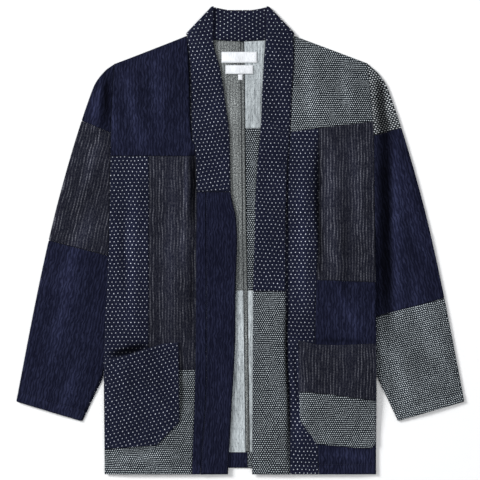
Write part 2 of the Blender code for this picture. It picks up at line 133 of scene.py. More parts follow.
SLEEVE_SEAMS = {
    "R": (Seam(0.306, 0.3155), Seam(0.214, 0.192), Seam(-0.001, -0.029), Seam(-0.291, -0.326)),
    "L": (Seam(0.306, 0.3155), Seam(0.2015, 0.187), Seam(-0.105, -0.143), Seam(-0.291, -0.326)),
}
print("jacket", round(1000 * (PEAK_Y - HEM_Y)), "mm long, body", round(1000 * 2 * SIDE["L"][-1].x), "mm wide")


# %% Reading the tables
def mix(first, second, share):
    return first + (second - first) * share


def ramp(value, start, end):
    """Rise softly from 0 at start to 1 at end."""
    share = np.clip((np.asarray(value, float) - start) / (end - start), 0.0, 1.0)
    return share * share * (3.0 - 2.0 * share)


def read(rows, at, straight=False):
    """Read a two-column table at many places, along a smooth curve through its rows."""
    place, value = np.array(sorted(rows), float).T
    at = np.clip(at, place[0], place[-1])
    index = np.clip(np.searchsorted(place, at, side="right") - 1, 0, len(place) - 2)
    step = np.diff(place)
    slope = np.diff(value) / step
    share = (at - place[index]) / step[index]
    if straight or len(place) == 2:
        return mix(value[index], value[index + 1], share)
    product = slope[:-1] * slope[1:]
    total = np.where(product > 0, slope[:-1] + slope[1:], 1.0)
    bend = np.concatenate([slope[:1], np.where(product > 0, 2 * product / total, 0.0), slope[-1:]])
    rise = share * share * (3 - 2 * share)
    leave = share * (1 - share) ** 2 * step[index] * bend[index]
    arrive = share * share * (share - 1) * step[index] * bend[index + 1]
    return mix(value[index], value[index + 1], rise) + leave + arrive


def by_side(tables, x, y):
    """Read the table of the side of the jacket that each place lies on."""
    return np.where(x < 0, read(tables["R"], y), read(tables["L"], y))


def side_sign(side):
    return -1.0 if side == "R" else 1.0


waist_width = float(read(SIDE["L"], WAIST_Y) - read(SIDE["R"], WAIST_Y))
print("body", round(1000 * waist_width), "mm wide at the waist")

# %% [markdown]
# The layers lie on each other: the back on the surface, its facings on the back, the fronts on those, and
# the pockets and collar band on top. Each layer's underside is a height that depends on the place alone,
# so layers can't pass through each other. The sides of the body lie up over the tucked sleeves.

# %% Undersides of the layers
NECK_GAP = 0.0006
NECK_RISE = (0.300, 0.355)
FRONT_LOFT = 0.0020
LOFT_FROM_SIDE = 0.045
LOFT_FROM_SHOULDER = 0.035
LOFT_FROM_OPENING = 0.070
POCKET_LOFT = 0.0008
POCKET_GAPE = 0.0020
SIDE_LIFT = 0.0062
LIFT_ACROSS = (0.140, 0.215)
LIFT_TOP = (0.110, -0.015)
LIFT_BOTTOM = (-0.385, -0.243)


def lift_along(y):
    return ramp(y, *LIFT_TOP) * ramp(y, *LIFT_BOTTOM)


def back_floor(x, y):
    return SIDE_LIFT * ramp(np.abs(x), *LIFT_ACROSS) * lift_along(y)


def facing_floor(x, y):
    return back_floor(x, y) + CLOTH + SEAM_GAP


def label_floor(x, y):
    return facing_floor(x, y) + FACING + SEAM_GAP


def front_rest(x, y):
    """The lowest that a front can lie: on the back, or on its facing at the hem."""
    return facing_floor(x, y) + (FACING + SEAM_GAP) * ramp(y, FACING_Y + 0.040, FACING_Y)


def front_floor(x, y):
    """Close to the back at the seams of the front, and lofted between them."""
    shoulder_x = np.where(x < 0, -SIDE["R"][0].x, SIDE["L"][0].x)
    shoulder_y = np.where(x < 0, SIDE["R"][0].y, SIDE["L"][0].y)
    from_side = np.abs(by_side(SIDE, x, y)) - np.abs(x)
    slope_y = mix(NECK_Y, shoulder_y, (np.abs(x) - NECK_X) / (shoulder_x - NECK_X))
    from_shoulder = np.minimum(slope_y, NECK_Y) - y
    from_opening = np.abs(x - by_side(FREE_EDGE, x, y))
    loft = ramp(from_side, 0.0, LOFT_FROM_SIDE) * ramp(from_shoulder, 0.0, LOFT_FROM_SHOULDER)
    loft = loft * mix(0.4, 1.0, ramp(from_opening, 0.0, LOFT_FROM_OPENING))
    return front_rest(x, y) + FRONT_LOFT * loft


def collar_floor(x, y):
    return mix(front_floor(x, y), COLLAR + NECK_GAP, ramp(y, *NECK_RISE))


def pocket_floor(x, y, across, mouth_y, bottom_y):
    """Sewn down round its edge, slightly open at its mouth."""
    depth = np.clip((y - bottom_y) / (mouth_y - bottom_y), 0.0, 1.0)
    bulge = 4.0 * across * (1.0 - across)
    puff = POCKET_LOFT * np.sin(math.pi * np.minimum(depth, 0.5)) + POCKET_GAPE * depth ** 6
    return front_floor(x, y) + CLOTH + SEAM_GAP + puff * bulge


print("a front lies", round(1000 * float(front_floor(-0.15, 0.10)), 1), "mm up at its middle")

# %% [markdown]
# Laid-out cotton is never flat. Three things shape it here: a few large creases placed where the jacket
# shows them, a soft rumple all over, and on the sashiko cloth the crinkle of short raised ribs that the
# running stitches draw up. A simulation would settle a sheet this flat to almost nothing and would lose the
# creases' places, so they are drawn: each is a soft trough or ridge along a line, in a table with a row
# each.

# %% Random heights that repeat
LARGE_RUMPLE = 0.00030
SMALL_RUMPLE = 0.00014


def lattice(column, row, seed):
    """A number from 0 to 1 at each corner of a lattice, the same on each run."""
    mixed = np.sin(column * 127.1 + row * 311.7 + seed * 74.7) * 43758.5453
    return mixed - np.floor(mixed)


def noise(x, y, seed):
    """Soft random heights from -1 to 1, one lattice step apart."""
    column, row = np.floor(x), np.floor(y)
    right, up = ramp(x - column, 0.0, 1.0), ramp(y - row, 0.0, 1.0)
    low = mix(lattice(column, row, seed), lattice(column + 1, row, seed), right)
    high = mix(lattice(column, row + 1, seed), lattice(column + 1, row + 1, seed), right)
    return 2.0 * mix(low, high, up) - 1.0


def rumple(x, y):
    """The soft unevenness of all the cloths."""
    large = noise(x / 0.034, y / 0.047, 1)
    small = noise(x / 0.013, y / 0.017, 2)
    return LARGE_RUMPLE * large + SMALL_RUMPLE * small


STITCH_COLUMN = 0.0053
STITCH_REPEAT = 0.0218


def pucker(across, along):
    """The crinkle of the sashiko cloth, from -1 to 1.

    Columns of long stitches, each column set off by half a repeat, pull the cloth down. It rises between
    them in short ribs along the grain, which sway and differ."""
    across = across + 0.0014 * noise(across / 0.010, along / 0.016, 3)
    along = along + 0.0060 * noise(across / 0.0060, along / 0.030, 4)
    ribs = np.cos(math.pi * across / STITCH_COLUMN) * np.cos(2 * math.pi * along / STITCH_REPEAT)
    strength = 0.55 + 0.35 * noise(across / 0.0053, along / 0.013, 5)
    long_ribs = noise(across / 0.0030, along / 0.0160, 6)
    short_ribs = noise(across / 0.0022, along / 0.0070, 7)
    return np.clip(0.6 * ribs * strength + 0.40 * long_ribs + 0.25 * short_ribs, -1.0, 1.0)


print("sashiko stitches: columns and repeat in mm", round(1000 * STITCH_COLUMN, 1),
      round(1000 * STITCH_REPEAT, 1))

# %% The large creases
Crease = namedtuple("Crease", "x_from y_from x_to y_to width height")


def creases_in_mm(*rows):
    """The creases of a table whose rows are in millimetres: from x, y to x, y, then width and height."""
    return tuple(Crease(*(value / 1000 for value in row)) for row in rows)


# Each crease's height also tints the cloth: painted shade in its trough and painted highlight on its ridge.
FRONT_CREASES = creases_in_mm(
    (-98, 152, -96, 55, 3.6, 5), (-86, 158, -84, 30, 5, -3.4), (-84, 40, -88, -180, 4, -1.4),
    (-230, 250, -222, 165, 9, 1.6), (137, 185, 143, -65, 6, -2.6), (86, 150, 83, -90, 2.6, -2),
    (84, -60, 89, -400, 2.8, -3.2), (-92, 350, -88, 180, 2.6, -2.4), (-99, 60, -103, -60, 6, 1.8),
    (-120, 140, -128, -190, 11, 1.6), (-205, 290, -176, 170, 10, 1.8), (-150, 330, -142, 190, 12, 1.6),
    (-190, 120, -196, -170, 12, 1.4), (-214, 60, -205, -120, 8, -1), (-225, -395, -110, -385, 8, 1.2),
    (120, 335, 133, 215, 12, 1.6), (190, 305, 200, 225, 11, 1.6), (160, 180, 166, -60, 13, 1.8),
    (205, 180, 214, 10, 11, 1.6), (186, 80, 190, -150, 9, -1), (110, 160, 112, -150, 10, 1.2),
    (175, -90, 215, -170, 10, 1.8), (110, -200, 104, -395, 9, 1.2), (160, -385, 235, -395, 8, 1.4),
)


def creases(table, x, y):
    """Height that a table of creases adds: each fades at its ends and sways a little on its way."""
    sway_x = x + 0.0030 * noise(x / 0.040, y / 0.055, 11)
    sway_y = y + 0.0030 * noise(x / 0.050, y / 0.040, 12)
    height = np.zeros_like(x)
    for crease in table:
        run_x, run_y = crease.x_to - crease.x_from, crease.y_to - crease.y_from
        length_squared = run_x ** 2 + run_y ** 2
        share = ((sway_x - crease.x_from) * run_x + (sway_y - crease.y_from) * run_y) / length_squared
        share = np.clip(share, 0.0, 1.0)
        away = np.hypot(sway_x - crease.x_from - run_x * share, sway_y - crease.y_from - run_y * share)
        fade = np.sin(math.pi * (0.08 + 0.84 * share))
        height += crease.height * fade * np.exp(-(away / crease.width) ** 2)
    return height


print("creases placed on the fronts:", len(FRONT_CREASES))

# %% [markdown]
# Each cloth is a closed shell. It starts as a flat grid, which is extruded once so that it has two skins
# and a rim, and then each point of the grid takes its place on the cloth. Modelling a panel by hand and
# thickening it with Solidify would do as well, but here both skins have a job: the lower one clears the
# layer below, and the upper one carries the crinkle. Extra columns and rows near the rim let it roll over
# softly into the seam.

# %% Sharing out columns and rows
RIM_STOPS = (0.0, 0.0004, 0.0010, 0.0018, 0.0028)
GridStep = namedtuple("GridStep", "across along")
GRID_STEPS = {"navy_sashiko": GridStep(0.0014, 0.0030)}
PLAIN_STEP = GridStep(0.0030, 0.0038)
HIDDEN_STEP = GridStep(0.0060, 0.0080)


def stops(length, step):
    """Shares from 0 to 1 for the columns or rows, closer together in the rims."""
    rim = np.array(RIM_STOPS[:-1])
    inner = max(1, round((length - 2 * RIM_STOPS[-1]) / step))
    middle = np.linspace(RIM_STOPS[-1], length - RIM_STOPS[-1], inner + 1)
    return np.concatenate([rim, middle, (length - rim)[::-1]]) / length


def open_stops(length, step):
    """The same for a sheet that runs on at its far end, so it has no rim there."""
    return np.append(stops(length, step)[:-(len(RIM_STOPS) - 1)], 1.0)


def edge_distance(across, along, width, length):
    """Distance to the nearest of the four seams."""
    return np.minimum(np.minimum(across, 1 - across) * width, np.minimum(along, 1 - along) * length)


def rim_drop(from_edge, drop=0.0009, width=0.0026):
    """How far the upper skin rolls down towards a seam or a folded edge."""
    return drop * np.clip(1.0 - from_edge / width, 0.0, 1.0) ** 2


print("a plain cloth 100 mm wide has", len(stops(0.100, PLAIN_STEP.across)), "columns")

# %% Making a cloth shell
UNDER_CLEAR = 0.0005
SHARP_ANGLE = math.radians(60)


def add_object(name, data):
    made = bpy.data.objects.new(name, data)
    bpy.context.scene.collection.objects.link(made)
    return made


def read_values(items, name, size=3, kind=float):
    """The values of a mesh's points, corners or faces, a row for each."""
    values = np.empty(len(items) * size, kind)
    items.foreach_get(name, values)
    return values.reshape(-1, size)


def shell_mesh(name, across_count, along_count):
    """A flat closed slab of square faces, its upper skin at z = 1, in steps of 1."""
    slab = bmesh.new()
    bmesh.ops.create_grid(slab, x_segments=across_count - 1, y_segments=along_count - 1, size=0.5)
    raised = bmesh.ops.extrude_face_region(slab, geom=slab.faces[:])["geom"]
    upper = [part for part in raised if isinstance(part, bmesh.types.BMVert)]
    bmesh.ops.translate(slab, verts=upper, vec=(0.0, 0.0, 1.0))
    bmesh.ops.recalc_face_normals(slab, faces=slab.faces[:])
    mesh = bpy.data.meshes.new(name)
    slab.to_mesh(mesh)
    slab.free()
    return mesh


def flat_area(points):
    """Area of a sheet of points in rows and columns."""
    first = points[1:, 1:] - points[:-1, :-1]
    second = points[1:, :-1] - points[:-1, 1:]
    return float(np.linalg.norm(np.cross(first, second), axis=2).sum() / 2)


def lay_cloth(node, cloth, outer, inner, relief, grain, from_edge, folds, clear=UNDER_CLEAR, reverse=None,
              rests_on=(), trims=()):
    """relief is added to the outer sheet, and clear takes the inner one in. grain holds the place on the cloth's
    own weave, from_edge the distance to the nearest seam, and folds the height of the large creases."""
    rows, columns = relief.shape
    mesh = shell_mesh(node + "_cloth", columns, rows)
    flat = read_values(mesh.vertices, "co")
    column = np.rint((flat[:, 0] + 0.5) * (columns - 1)).astype(int)
    row = np.rint((flat[:, 1] + 0.5) * (rows - 1)).astype(int)
    upper = flat[:, 2] > 0.5
    centres = read_values(mesh.polygons, "center")

    through = outer - inner
    through /= np.linalg.norm(through, axis=2, keepdims=True)
    top = outer + through * relief[:, :, None]
    bottom = inner + through * clear
    place = np.where(upper[:, None], top[row, column], bottom[row, column])
    mesh.vertices.foreach_set("co", place.ravel())
    mesh.polygons.foreach_set("use_smooth", np.ones(len(mesh.polygons), bool))

    loops = read_values(mesh.loops, "vertex_index", 1, int)[:, 0]
    grain_map = mesh.uv_layers.new(name="grain")
    grain_map.data.foreach_set("uv", grain[row, column][loops].ravel())
    for label, values in (("relief", relief), ("from_edge", from_edge), ("folds", folds)):
        attribute = mesh.attributes.new(label, "FLOAT", "POINT")
        attribute.data.foreach_set("value", (1000.0 * values[row, column]).astype(np.float32))

    mesh.materials.append(CLOTHS[cloth])
    if reverse:
        mesh.materials.append(CLOTHS[reverse])
        under = (centres[:, 2] < 0.25).astype(np.int32)
        mesh.polygons.foreach_set("material_index", under)
    mesh.update()
    turn_faces_out(mesh)
    mesh.set_sharp_from_angle(angle=SHARP_ANGLE)

    piece = add_object(node + "_cloth", mesh)
    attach(piece, "root")
    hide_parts(node)
    area = flat_area(outer)
    return piece


def turn_faces_out(mesh):
    """Turn the faces round if the shell encloses less than nothing."""
    mesh.calc_loop_triangles()
    corners = read_values(mesh.loop_triangles, "vertices", kind=int)
    first, second, third = read_values(mesh.vertices, "co")[corners].transpose(1, 0, 2)
    if np.einsum("ij,ij->i", first, np.cross(second, third)).sum() < 0:
        mesh.flip_normals()
        mesh.update()


# %% [markdown]
# The cloths are woven in the shader, from the place on each cloth's own weave in metres, so a pattern has
# its real pitch and turns with its patch. Pictures of cloth would tile and blur. Shader maths is a web of
# small nodes, which reads better as an expression, so a small class wraps a socket and lets Python's own
# operators add the Math nodes. One method adds any other node.

# %% Shader sockets as expressions
class Wire:
    """One output socket of a shader tree."""

    def __init__(self, tree, socket):
        self.tree = tree
        self.socket = socket

    def node(self, kind, settings=None, inputs=None, output=0):
        """Add a node: its settings first, then the values or links of its sockets."""
        made = self.tree.nodes.new(kind)
        for setting, value in (settings or {}).items():
            setattr(made, setting, value)
        for key, value in (inputs or {}).items():
            if isinstance(value, Wire):
                self.tree.links.new(value.socket, made.inputs[key])
            else:
                made.inputs[key].default_value = value
        return Wire(self.tree, made.outputs[output])

    def output(self, name):
        return Wire(self.tree, self.socket.node.outputs[name])

    def math(self, operation, *values):
        return self.node("ShaderNodeMath", {"operation": operation}, dict(enumerate(values)))

    def __abs__(self):
        return self.math("ABSOLUTE", self)

    def floor(self):
        return self.math("FLOOR", self)

    def step(self, start, end):
        """Rise softly from 0 at start to 1 at end."""
        return self.node("ShaderNodeMapRange", {"interpolation_type": "SMOOTHSTEP"},
                         {"Value": self, "From Min": start, "From Max": end})

    def between(self, first, second):
        """Blend two colours by this wire."""
        return self.node("ShaderNodeMix", {"data_type": "RGBA"}, {0: self, 6: first, 7: second}, output=2)

    def place(self, across, along):
        return self.node("ShaderNodeCombineXYZ", {}, {"X": across, "Y": along})

    def random(self, across, along):
        """A number from 0 to 1 for each whole step across and along."""
        return self.node("ShaderNodeTexWhiteNoise", {"noise_dimensions": "2D"},
                         {"Vector": self.place(across, along)})

    def cloud(self, across, along, detail=2.0):
        """Soft noise from about 0.3 to 0.7, one feature for each unit across and along."""
        return self.node("ShaderNodeTexNoise", {"noise_dimensions": "2D"},
                         {"Vector": self.place(across, along), "Scale": 1.0, "Detail": detail,
                          "Roughness": 0.55})


def add_operator(name, operation):
    """Let one of Python's operators add a Math node, with the wire on either side of it."""
    setattr(Wire, f"__{name}__", lambda self, other: self.math(operation, self, other))
    setattr(Wire, f"__r{name}__", lambda self, other: self.math(operation, other, self))
    print("operator", name, "adds a node that does", operation)


for name, operation in (("add", "ADD"), ("sub", "SUBTRACT"), ("mul", "MULTIPLY"), ("truediv", "DIVIDE"),
                        ("mod", "FLOORED_MODULO")):
    add_operator(name, operation)


# %% [markdown]
# All the cloths share a ground: threads in a plain weave, slubs where a thread is thicker, a fading that
# drifts over the jacket, and pale wear where a seam or edge rubs. The heights that shaped the mesh also tint
# the cloth as painted shade and highlight: the troughs of the crinkle, of the rolled seams and of the large
# creases are painted darker, and their crests lighter. Only the pattern on top differs, and each pattern is
# one short function that gives back its colour and its height.

# %% Common parts of a cloth
THREAD = 0.0011
PATTERN_BUMP = 0.00035
FIBRE_BUMP = 0.00016
RELIEF_SHADING_TINTS = (0.85, 1.15)
FOLD_SHADING_TINTS = (0.16, 1.84)
SHEEN_TINT = (0.55, 0.62, 0.95, 1.0)
WORN_COLOR = (0.30, 0.32, 0.36, 1.0)
CLOTHS = {}
Pattern = namedtuple("Pattern", "color height")
Grain = namedtuple("Grain", "start across along relief from_edge folds")


def new_material(name):
    """Make a material, keep it under its name, and give back its tree and its shader."""
    material = CLOTHS[name] = bpy.data.materials.new(name)
    material.use_nodes = True
    return material.node_tree, material.node_tree.nodes["Principled BSDF"]


def read_grain(tree):
    """Find the place on the weave, bent a little, and the heights kept on the mesh."""
    uv_map = tree.nodes.new("ShaderNodeUVMap")
    uv_map.uv_map = "grain"
    start = Wire(tree, uv_map.outputs[0])
    split = start.node("ShaderNodeSeparateXYZ", {}, {0: start})
    across, along = split.output("X"), split.output("Y")
    bend = start.cloud(across * 24.0, along * 24.0)
    twist = start.cloud(along * 27.0, across * 27.0 + 40.0)
    across = across + (bend - 0.5) * 0.0050
    along = along + (twist - 0.5) * 0.0050
    heights = [start.node("ShaderNodeAttribute", {"attribute_name": label}, output="Fac")
               for label in ("relief", "from_edge", "folds")]
    return Grain(start, across, along, *heights)


def cloud_on(grain, width, length, detail=2.0):
    """Soft noise on the weave, its features of a given width and length."""
    return grain.start.cloud(grain.across / width, grain.along / length, detail)


def weave_height(grain):
    """Height of the threads of a plain weave, from 0 to 1."""
    warp = abs((grain.across / THREAD) % 1.0 - 0.5)
    weft = abs((grain.along / THREAD) % 1.0 - 0.5)
    return 1.0 - warp - weft


def make_cloth(name, pattern, roughness, sheen=0.010, thread_bump=0.00012, fade=0.30, wear=0.10):
    """Make a cloth's material from its pattern."""
    tree, shader = new_material(name)
    grain = read_grain(tree)
    start = grain.start
    color, height = pattern(grain)

    slubs = cloud_on(grain, 0.0014, 0.011, 3.0)
    drift = cloud_on(grain, 0.085, 0.110, 3.0)
    light = 1.0 + (slubs - 0.5) * 0.55 + (drift - 0.5) * fade * 2.0
    # Painted shade and highlight: darker in the troughs of the crinkle, seams, hems and creases, lighter on
    # their crests.
    light = light * mix(*RELIEF_SHADING_TINTS, grain.relief.step(-0.5, 0.5))
    light = light * mix(*FOLD_SHADING_TINTS, grain.folds.step(-3.0, 3.0))
    lit = start.node("ShaderNodeVectorMath", {"operation": "SCALE"}, {0: color, "Scale": light})
    rubbed = (1.0 - grain.from_edge.step(0.2, 2.4)) * slubs.step(0.42, 0.66) * wear
    worn = rubbed.between(lit, WORN_COLOR)
    tree.links.new(worn.socket, shader.inputs["Base Color"])

    rough = roughness + (slubs - 0.5) * 0.20
    tree.links.new(rough.socket, shader.inputs["Roughness"])
    fibre = cloud_on(grain, 0.0008, 0.0008, 2.0)
    relief = height * PATTERN_BUMP + weave_height(grain) * thread_bump + fibre * FIBRE_BUMP
    bump = start.node("ShaderNodeBump", {}, {"Height": relief, "Distance": 1.0, "Strength": 0.9})
    tree.links.new(bump.socket, shader.inputs["Normal"])

    for label, value in (("Sheen Weight", sheen), ("Sheen Roughness", 0.40), ("Sheen Tint", SHEEN_TINT),
                         ("Specular IOR Level", 0.02)):
        shader.inputs[label].default_value = value
    print("cloth", name, "with", len(tree.nodes), "nodes")


# %% [markdown]
# The sashiko cloth is one dark indigo. What shows is its crinkle: long upright ribs between the columns of
# stitches, which waver and lean on each other, with grooves between them. The coarse relief is in the mesh.
# The ribs themselves are a cosine across the grain in the shader, bent by a soft noise, which keeps their
# grooves sharper than the mesh could. The colour follows their height, as painted shade that makes the
# grooves nearly black and painted highlight on the ribs.

# %% Navy sashiko cloth
def sashiko_pattern(grain):
    waver = cloud_on(grain, 0.0080, 0.0130, 1.0) - 0.5
    turns = (grain.across / STITCH_COLUMN + waver * 1.5) * (2 * math.pi)
    rib = turns.math("COSINE", turns).step(-1.0, 0.5)
    strength = cloud_on(grain, 0.0070, 0.0160, 1.0).step(0.30, 0.70)
    height = rib * (0.45 + strength * 0.55) + grain.relief * 0.25
    # Painted shade and highlight: the colour darkens into the grooves and lightens on the ribs.
    color = height.step(0.0, 1.15).between((0.0060, 0.0068, 0.0170, 1.0), (0.0158, 0.0180, 0.0400, 1.0))
    return Pattern(color, height * 1.1)


make_cloth("navy_sashiko", sashiko_pattern, 0.88, fade=0.10, wear=0.02)


# %% [markdown]
# The dotted cloth has rows of short pale stitches, each row set off by half a step, as in a woven counted
# stitch. A dot is a small ellipse in its own cell of a staggered grid. Each takes a random strength,
# because the yarn sinks into the ground now and then.

# %% Dotted navy cloth
DOT_ACROSS = 0.0073
DOT_ALONG = 0.0066
DOT_HALF_WIDTH = 0.00090
DOT_HALF_LENGTH = 0.00100


def dots(grain, pitch, rise, half_width, half_length):
    """Staggered dots: gives their shape from 0 to 1 and their random strength."""
    row = (grain.along / rise).floor()
    shifted = grain.across / pitch + row * 0.5
    cell = shifted.floor()
    slip = (grain.start.random(cell + 31.0, row) - 0.5) * 0.10
    beside = (shifted - cell - 0.5 + slip) * (pitch / half_width)
    above = (grain.along / rise - row - 0.5 - slip) * (rise / half_length)
    squared = beside * beside + above * above
    away = squared.math("SQRT", squared)
    strength = grain.start.random(cell, row)
    return 1.0 - away.step(0.60, 1.20), strength


def dotted_pattern(grain):
    dot, strength = dots(grain, DOT_ACROSS, DOT_ALONG, DOT_HALF_WIDTH, DOT_HALF_LENGTH)
    speck = cloud_on(grain, 0.0016, 0.0016, 1.0)
    ground = speck.step(0.50, 0.74).between((0.0058, 0.0070, 0.0185, 1.0), (0.0260, 0.0290, 0.0480, 1.0))
    pale = dot * (0.42 + strength * 0.58)
    return Pattern(pale.between(ground, (0.68, 0.72, 0.80, 1.0)), dot * 0.9)


make_cloth("dotted_navy", dotted_pattern, 0.86, wear=0.04)


# %% [markdown]
# The striped cloth has thin grey lines along the grain. They aren't printed: each is a line of short
# stitches in thin yarn, so it is broken into small dashes, and no two lines are as strong. A line also
# fades and comes back over a few centimetres, where its yarn was drawn tighter.

# %% Striped navy cloth
STRIPE_PITCH = 0.0054
DASH_REPEAT = 0.0045


def striped_pattern(grain):
    wander = cloud_on(grain, 0.030, 0.060)
    shifted = grain.across / STRIPE_PITCH + wander * 0.8
    line = shifted.floor()
    beside = abs(shifted - line - 0.5) * STRIPE_PITCH
    band = 1.0 - beside.step(0.0002, 0.0013)
    stitch = abs((grain.along / DASH_REPEAT + grain.start.random(line, 3.0)) % 1.0 - 0.5)
    dash = 1.0 - stitch.step(0.22, 0.42)
    strong = 0.35 + grain.start.random(line, 7.0) * 0.65
    drawn = grain.start.cloud(line * 7.31, grain.along / 0.0280, 3.0).step(0.38, 0.62)
    fleck = cloud_on(grain, 0.0013, 0.0045, 2.0).step(0.42, 0.68)
    pale = band * strong * (0.15 + drawn * 0.85) * (0.40 + dash * 0.60) + fleck * 0.16
    color = pale.between((0.0062, 0.0068, 0.0135, 1.0), (0.1120, 0.1150, 0.1380, 1.0))
    return Pattern(color, band * dash)


make_cloth("striped_navy", striped_pattern, 0.84, wear=0.04)


# %% [markdown]
# The fine check is a weave of pale and dark threads that trade places every step, so it reads as rows of
# tiny pale blocks, set off like bricks. The same staggered dots make it, with a much smaller pitch.

# %% Fine check cloth
Check = namedtuple("Check", "across along half_width half_length weakest fleck dark pale height")


def check_pattern(check):
    """The pattern of a check: staggered blocks of the pale thread, with a few flecks between them."""
    def pattern(grain):
        dot, strength = dots(grain, check.across, check.along, check.half_width, check.half_length)
        flecks = cloud_on(grain, 0.0010, 0.0010, 1.0).step(0.50, 0.75)
        pale = dot * (check.weakest + strength * (1.0 - check.weakest)) + flecks * check.fleck
        return Pattern(pale.between(check.dark, check.pale), dot * check.height)

    return pattern


FINE_CHECK = Check(0.0036, 0.0036, 0.00094, 0.00090, 0.60, 0.03,
                   (0.0045, 0.0066, 0.0105, 1.0), (0.6500, 0.7150, 0.7500, 1.0), 0.7)
make_cloth("fine_check", check_pattern(FINE_CHECK), 0.85, fade=0.20, wear=0.04)

# %% [markdown]
# The left sleeve's top is the same cloth family in a coarser count: broad pale dashes, about half as wide
# again as they are long, on nearly black.

# %% Coarse check cloth
COARSE_CHECK = Check(0.0054, 0.0038, 0.00165, 0.00100, 0.70, 0.04,
                     (0.0040, 0.0060, 0.0090, 1.0), (0.7600, 0.8000, 0.8200, 1.0), 0.9)
make_cloth("coarse_check", check_pattern(COARSE_CHECK), 0.85, fade=0.15, wear=0.03)


# %% [markdown]
# Inside the open front the cloths show their reverse. On the back of the stripes the pale weft comes up,
# so it is a grey-green with dark grains. On the back of the dots the pale yarn floats from stitch to
# stitch, which gives a bluish white with short dark flecks along the grain.

# %% Reverse sides and labels
def grey_reverse_pattern(grain):
    grains = cloud_on(grain, 0.0015, 0.0019, 2.0).step(0.38, 0.60)
    shifted = grain.across / STRIPE_PITCH
    beside = abs(shifted - shifted.floor() - 0.5)
    faint = beside.step(0.10, 0.34) * 0.40 + 0.60
    return Pattern((grains * faint).between((0.048, 0.052, 0.055, 1.0), (0.300, 0.320, 0.315, 1.0)), grains)


def pale_reverse_pattern(grain):
    dot, strength = dots(grain, DOT_ACROSS, DOT_ALONG, 0.0009, 0.0013)
    streak = cloud_on(grain, 0.0016, 0.0150, 3.0).step(0.36, 0.62)
    long_streak = cloud_on(grain, 0.0032, 0.0600, 2.0).step(0.36, 0.58)
    dark = dot * (0.15 + strength * 0.35) + (1.0 - streak) * 0.30 + (1.0 - long_streak) * 0.28
    return Pattern(dark.between((0.540, 0.590, 0.610, 1.0), (0.070, 0.080, 0.092, 1.0)), streak)


def seam_band_pattern(grain):
    """The reverse, with a dark line down the middle of the band, and painted shadow as dark lines along both
    edges.
    """
    color, height = grey_reverse_pattern(grain)
    # Painted shadow: the dark lines along the band's edges.
    edge = 1.0 - grain.from_edge.step(1.1, 2.0)
    middle = grain.from_edge.step(2.7, 3.2)
    return Pattern(edge.math("MAXIMUM", edge, middle).between(color, (0.008, 0.009, 0.011, 1.0)), height)


def label_pattern(grain):
    rib = abs((grain.along / THREAD) % 1.0 - 0.5) * 2.0
    return Pattern(rib.between((0.74, 0.76, 0.79, 1.0), (0.80, 0.82, 0.85, 1.0)), rib * 0.5)


make_cloth("grey_reverse", grey_reverse_pattern, 0.90, wear=0.03)
make_cloth("pale_reverse", pale_reverse_pattern, 0.90, wear=0.03)
make_cloth("seam_band", seam_band_pattern, 0.90, wear=0.03)
make_cloth("blank_label", label_pattern, 0.55, 0.02, thread_bump=0.00005, fade=0.06, wear=0.0)


# %% [markdown]
# A flat patch lies between two side seams and two cross seams. Its place is worked out for the whole grid
# at once, which numpy does in one line where a loop over points would be slow. The lower skin is raised a
# little from its solid, so that a layer's crinkle never shows through the layer on it.

# %% Flat patches
def grid(width, length, step):
    """Shares across and along for each point of a patch."""
    return np.meshgrid(stops(width, step.across), stops(length, step.along))


def sloped(left_y, right_y):
    return (Across(0.0, left_y), Across(1.0, right_y))


def level(y):
    return sloped(y, y)


def along_weave(x, y, axis=(0.0, 1.0)):
    """The place on a weave whose warp runs along an axis."""
    size = math.hypot(*axis)
    up_x, up_y = axis[0] / size, axis[1] / size
    return np.stack([x * up_y - y * up_x, x * up_x + y * up_y], axis=-1)


SASHIKO_RELIEF = 0.00050


def ruffle(cloth, grain):
    """How far a cloth's own crinkle and rumple raise its upper skin."""
    across, along = grain[..., 0], grain[..., 1]
    height = rumple(across, along)
    if cloth == "navy_sashiko":
        height = height + SASHIKO_RELIEF * pucker(across, along)
    return height


HEM_ALLOWANCE = 0.018
HEM_STEP = 0.0004
HEM_SLOPE = 0.0015
GROOVE_DEPTH = 0.0005
GROOVE_WIDTH = 0.0012
HEM = level(HEM_Y)
RELIEF_START = 0.004
print("hems turned up by", round(1000 * HEM_ALLOWANCE), "mm")


def hem_rise(from_hem):
    """How far a turned hem stands above the cloth, with the groove of its stitching."""
    groove = np.exp(-((from_hem - HEM_ALLOWANCE) / GROOVE_WIDTH) ** 2)
    step = ramp(from_hem, HEM_ALLOWANCE + HEM_SLOPE, HEM_ALLOWANCE - HEM_SLOPE)
    return HEM_STEP * step - GROOVE_DEPTH * groove


def skins(x, y, height, thickness):
    """The outer and the inner sheet of a flat patch."""
    return np.stack([x, y, height + thickness], axis=-1), np.stack([x, y, height], axis=-1)


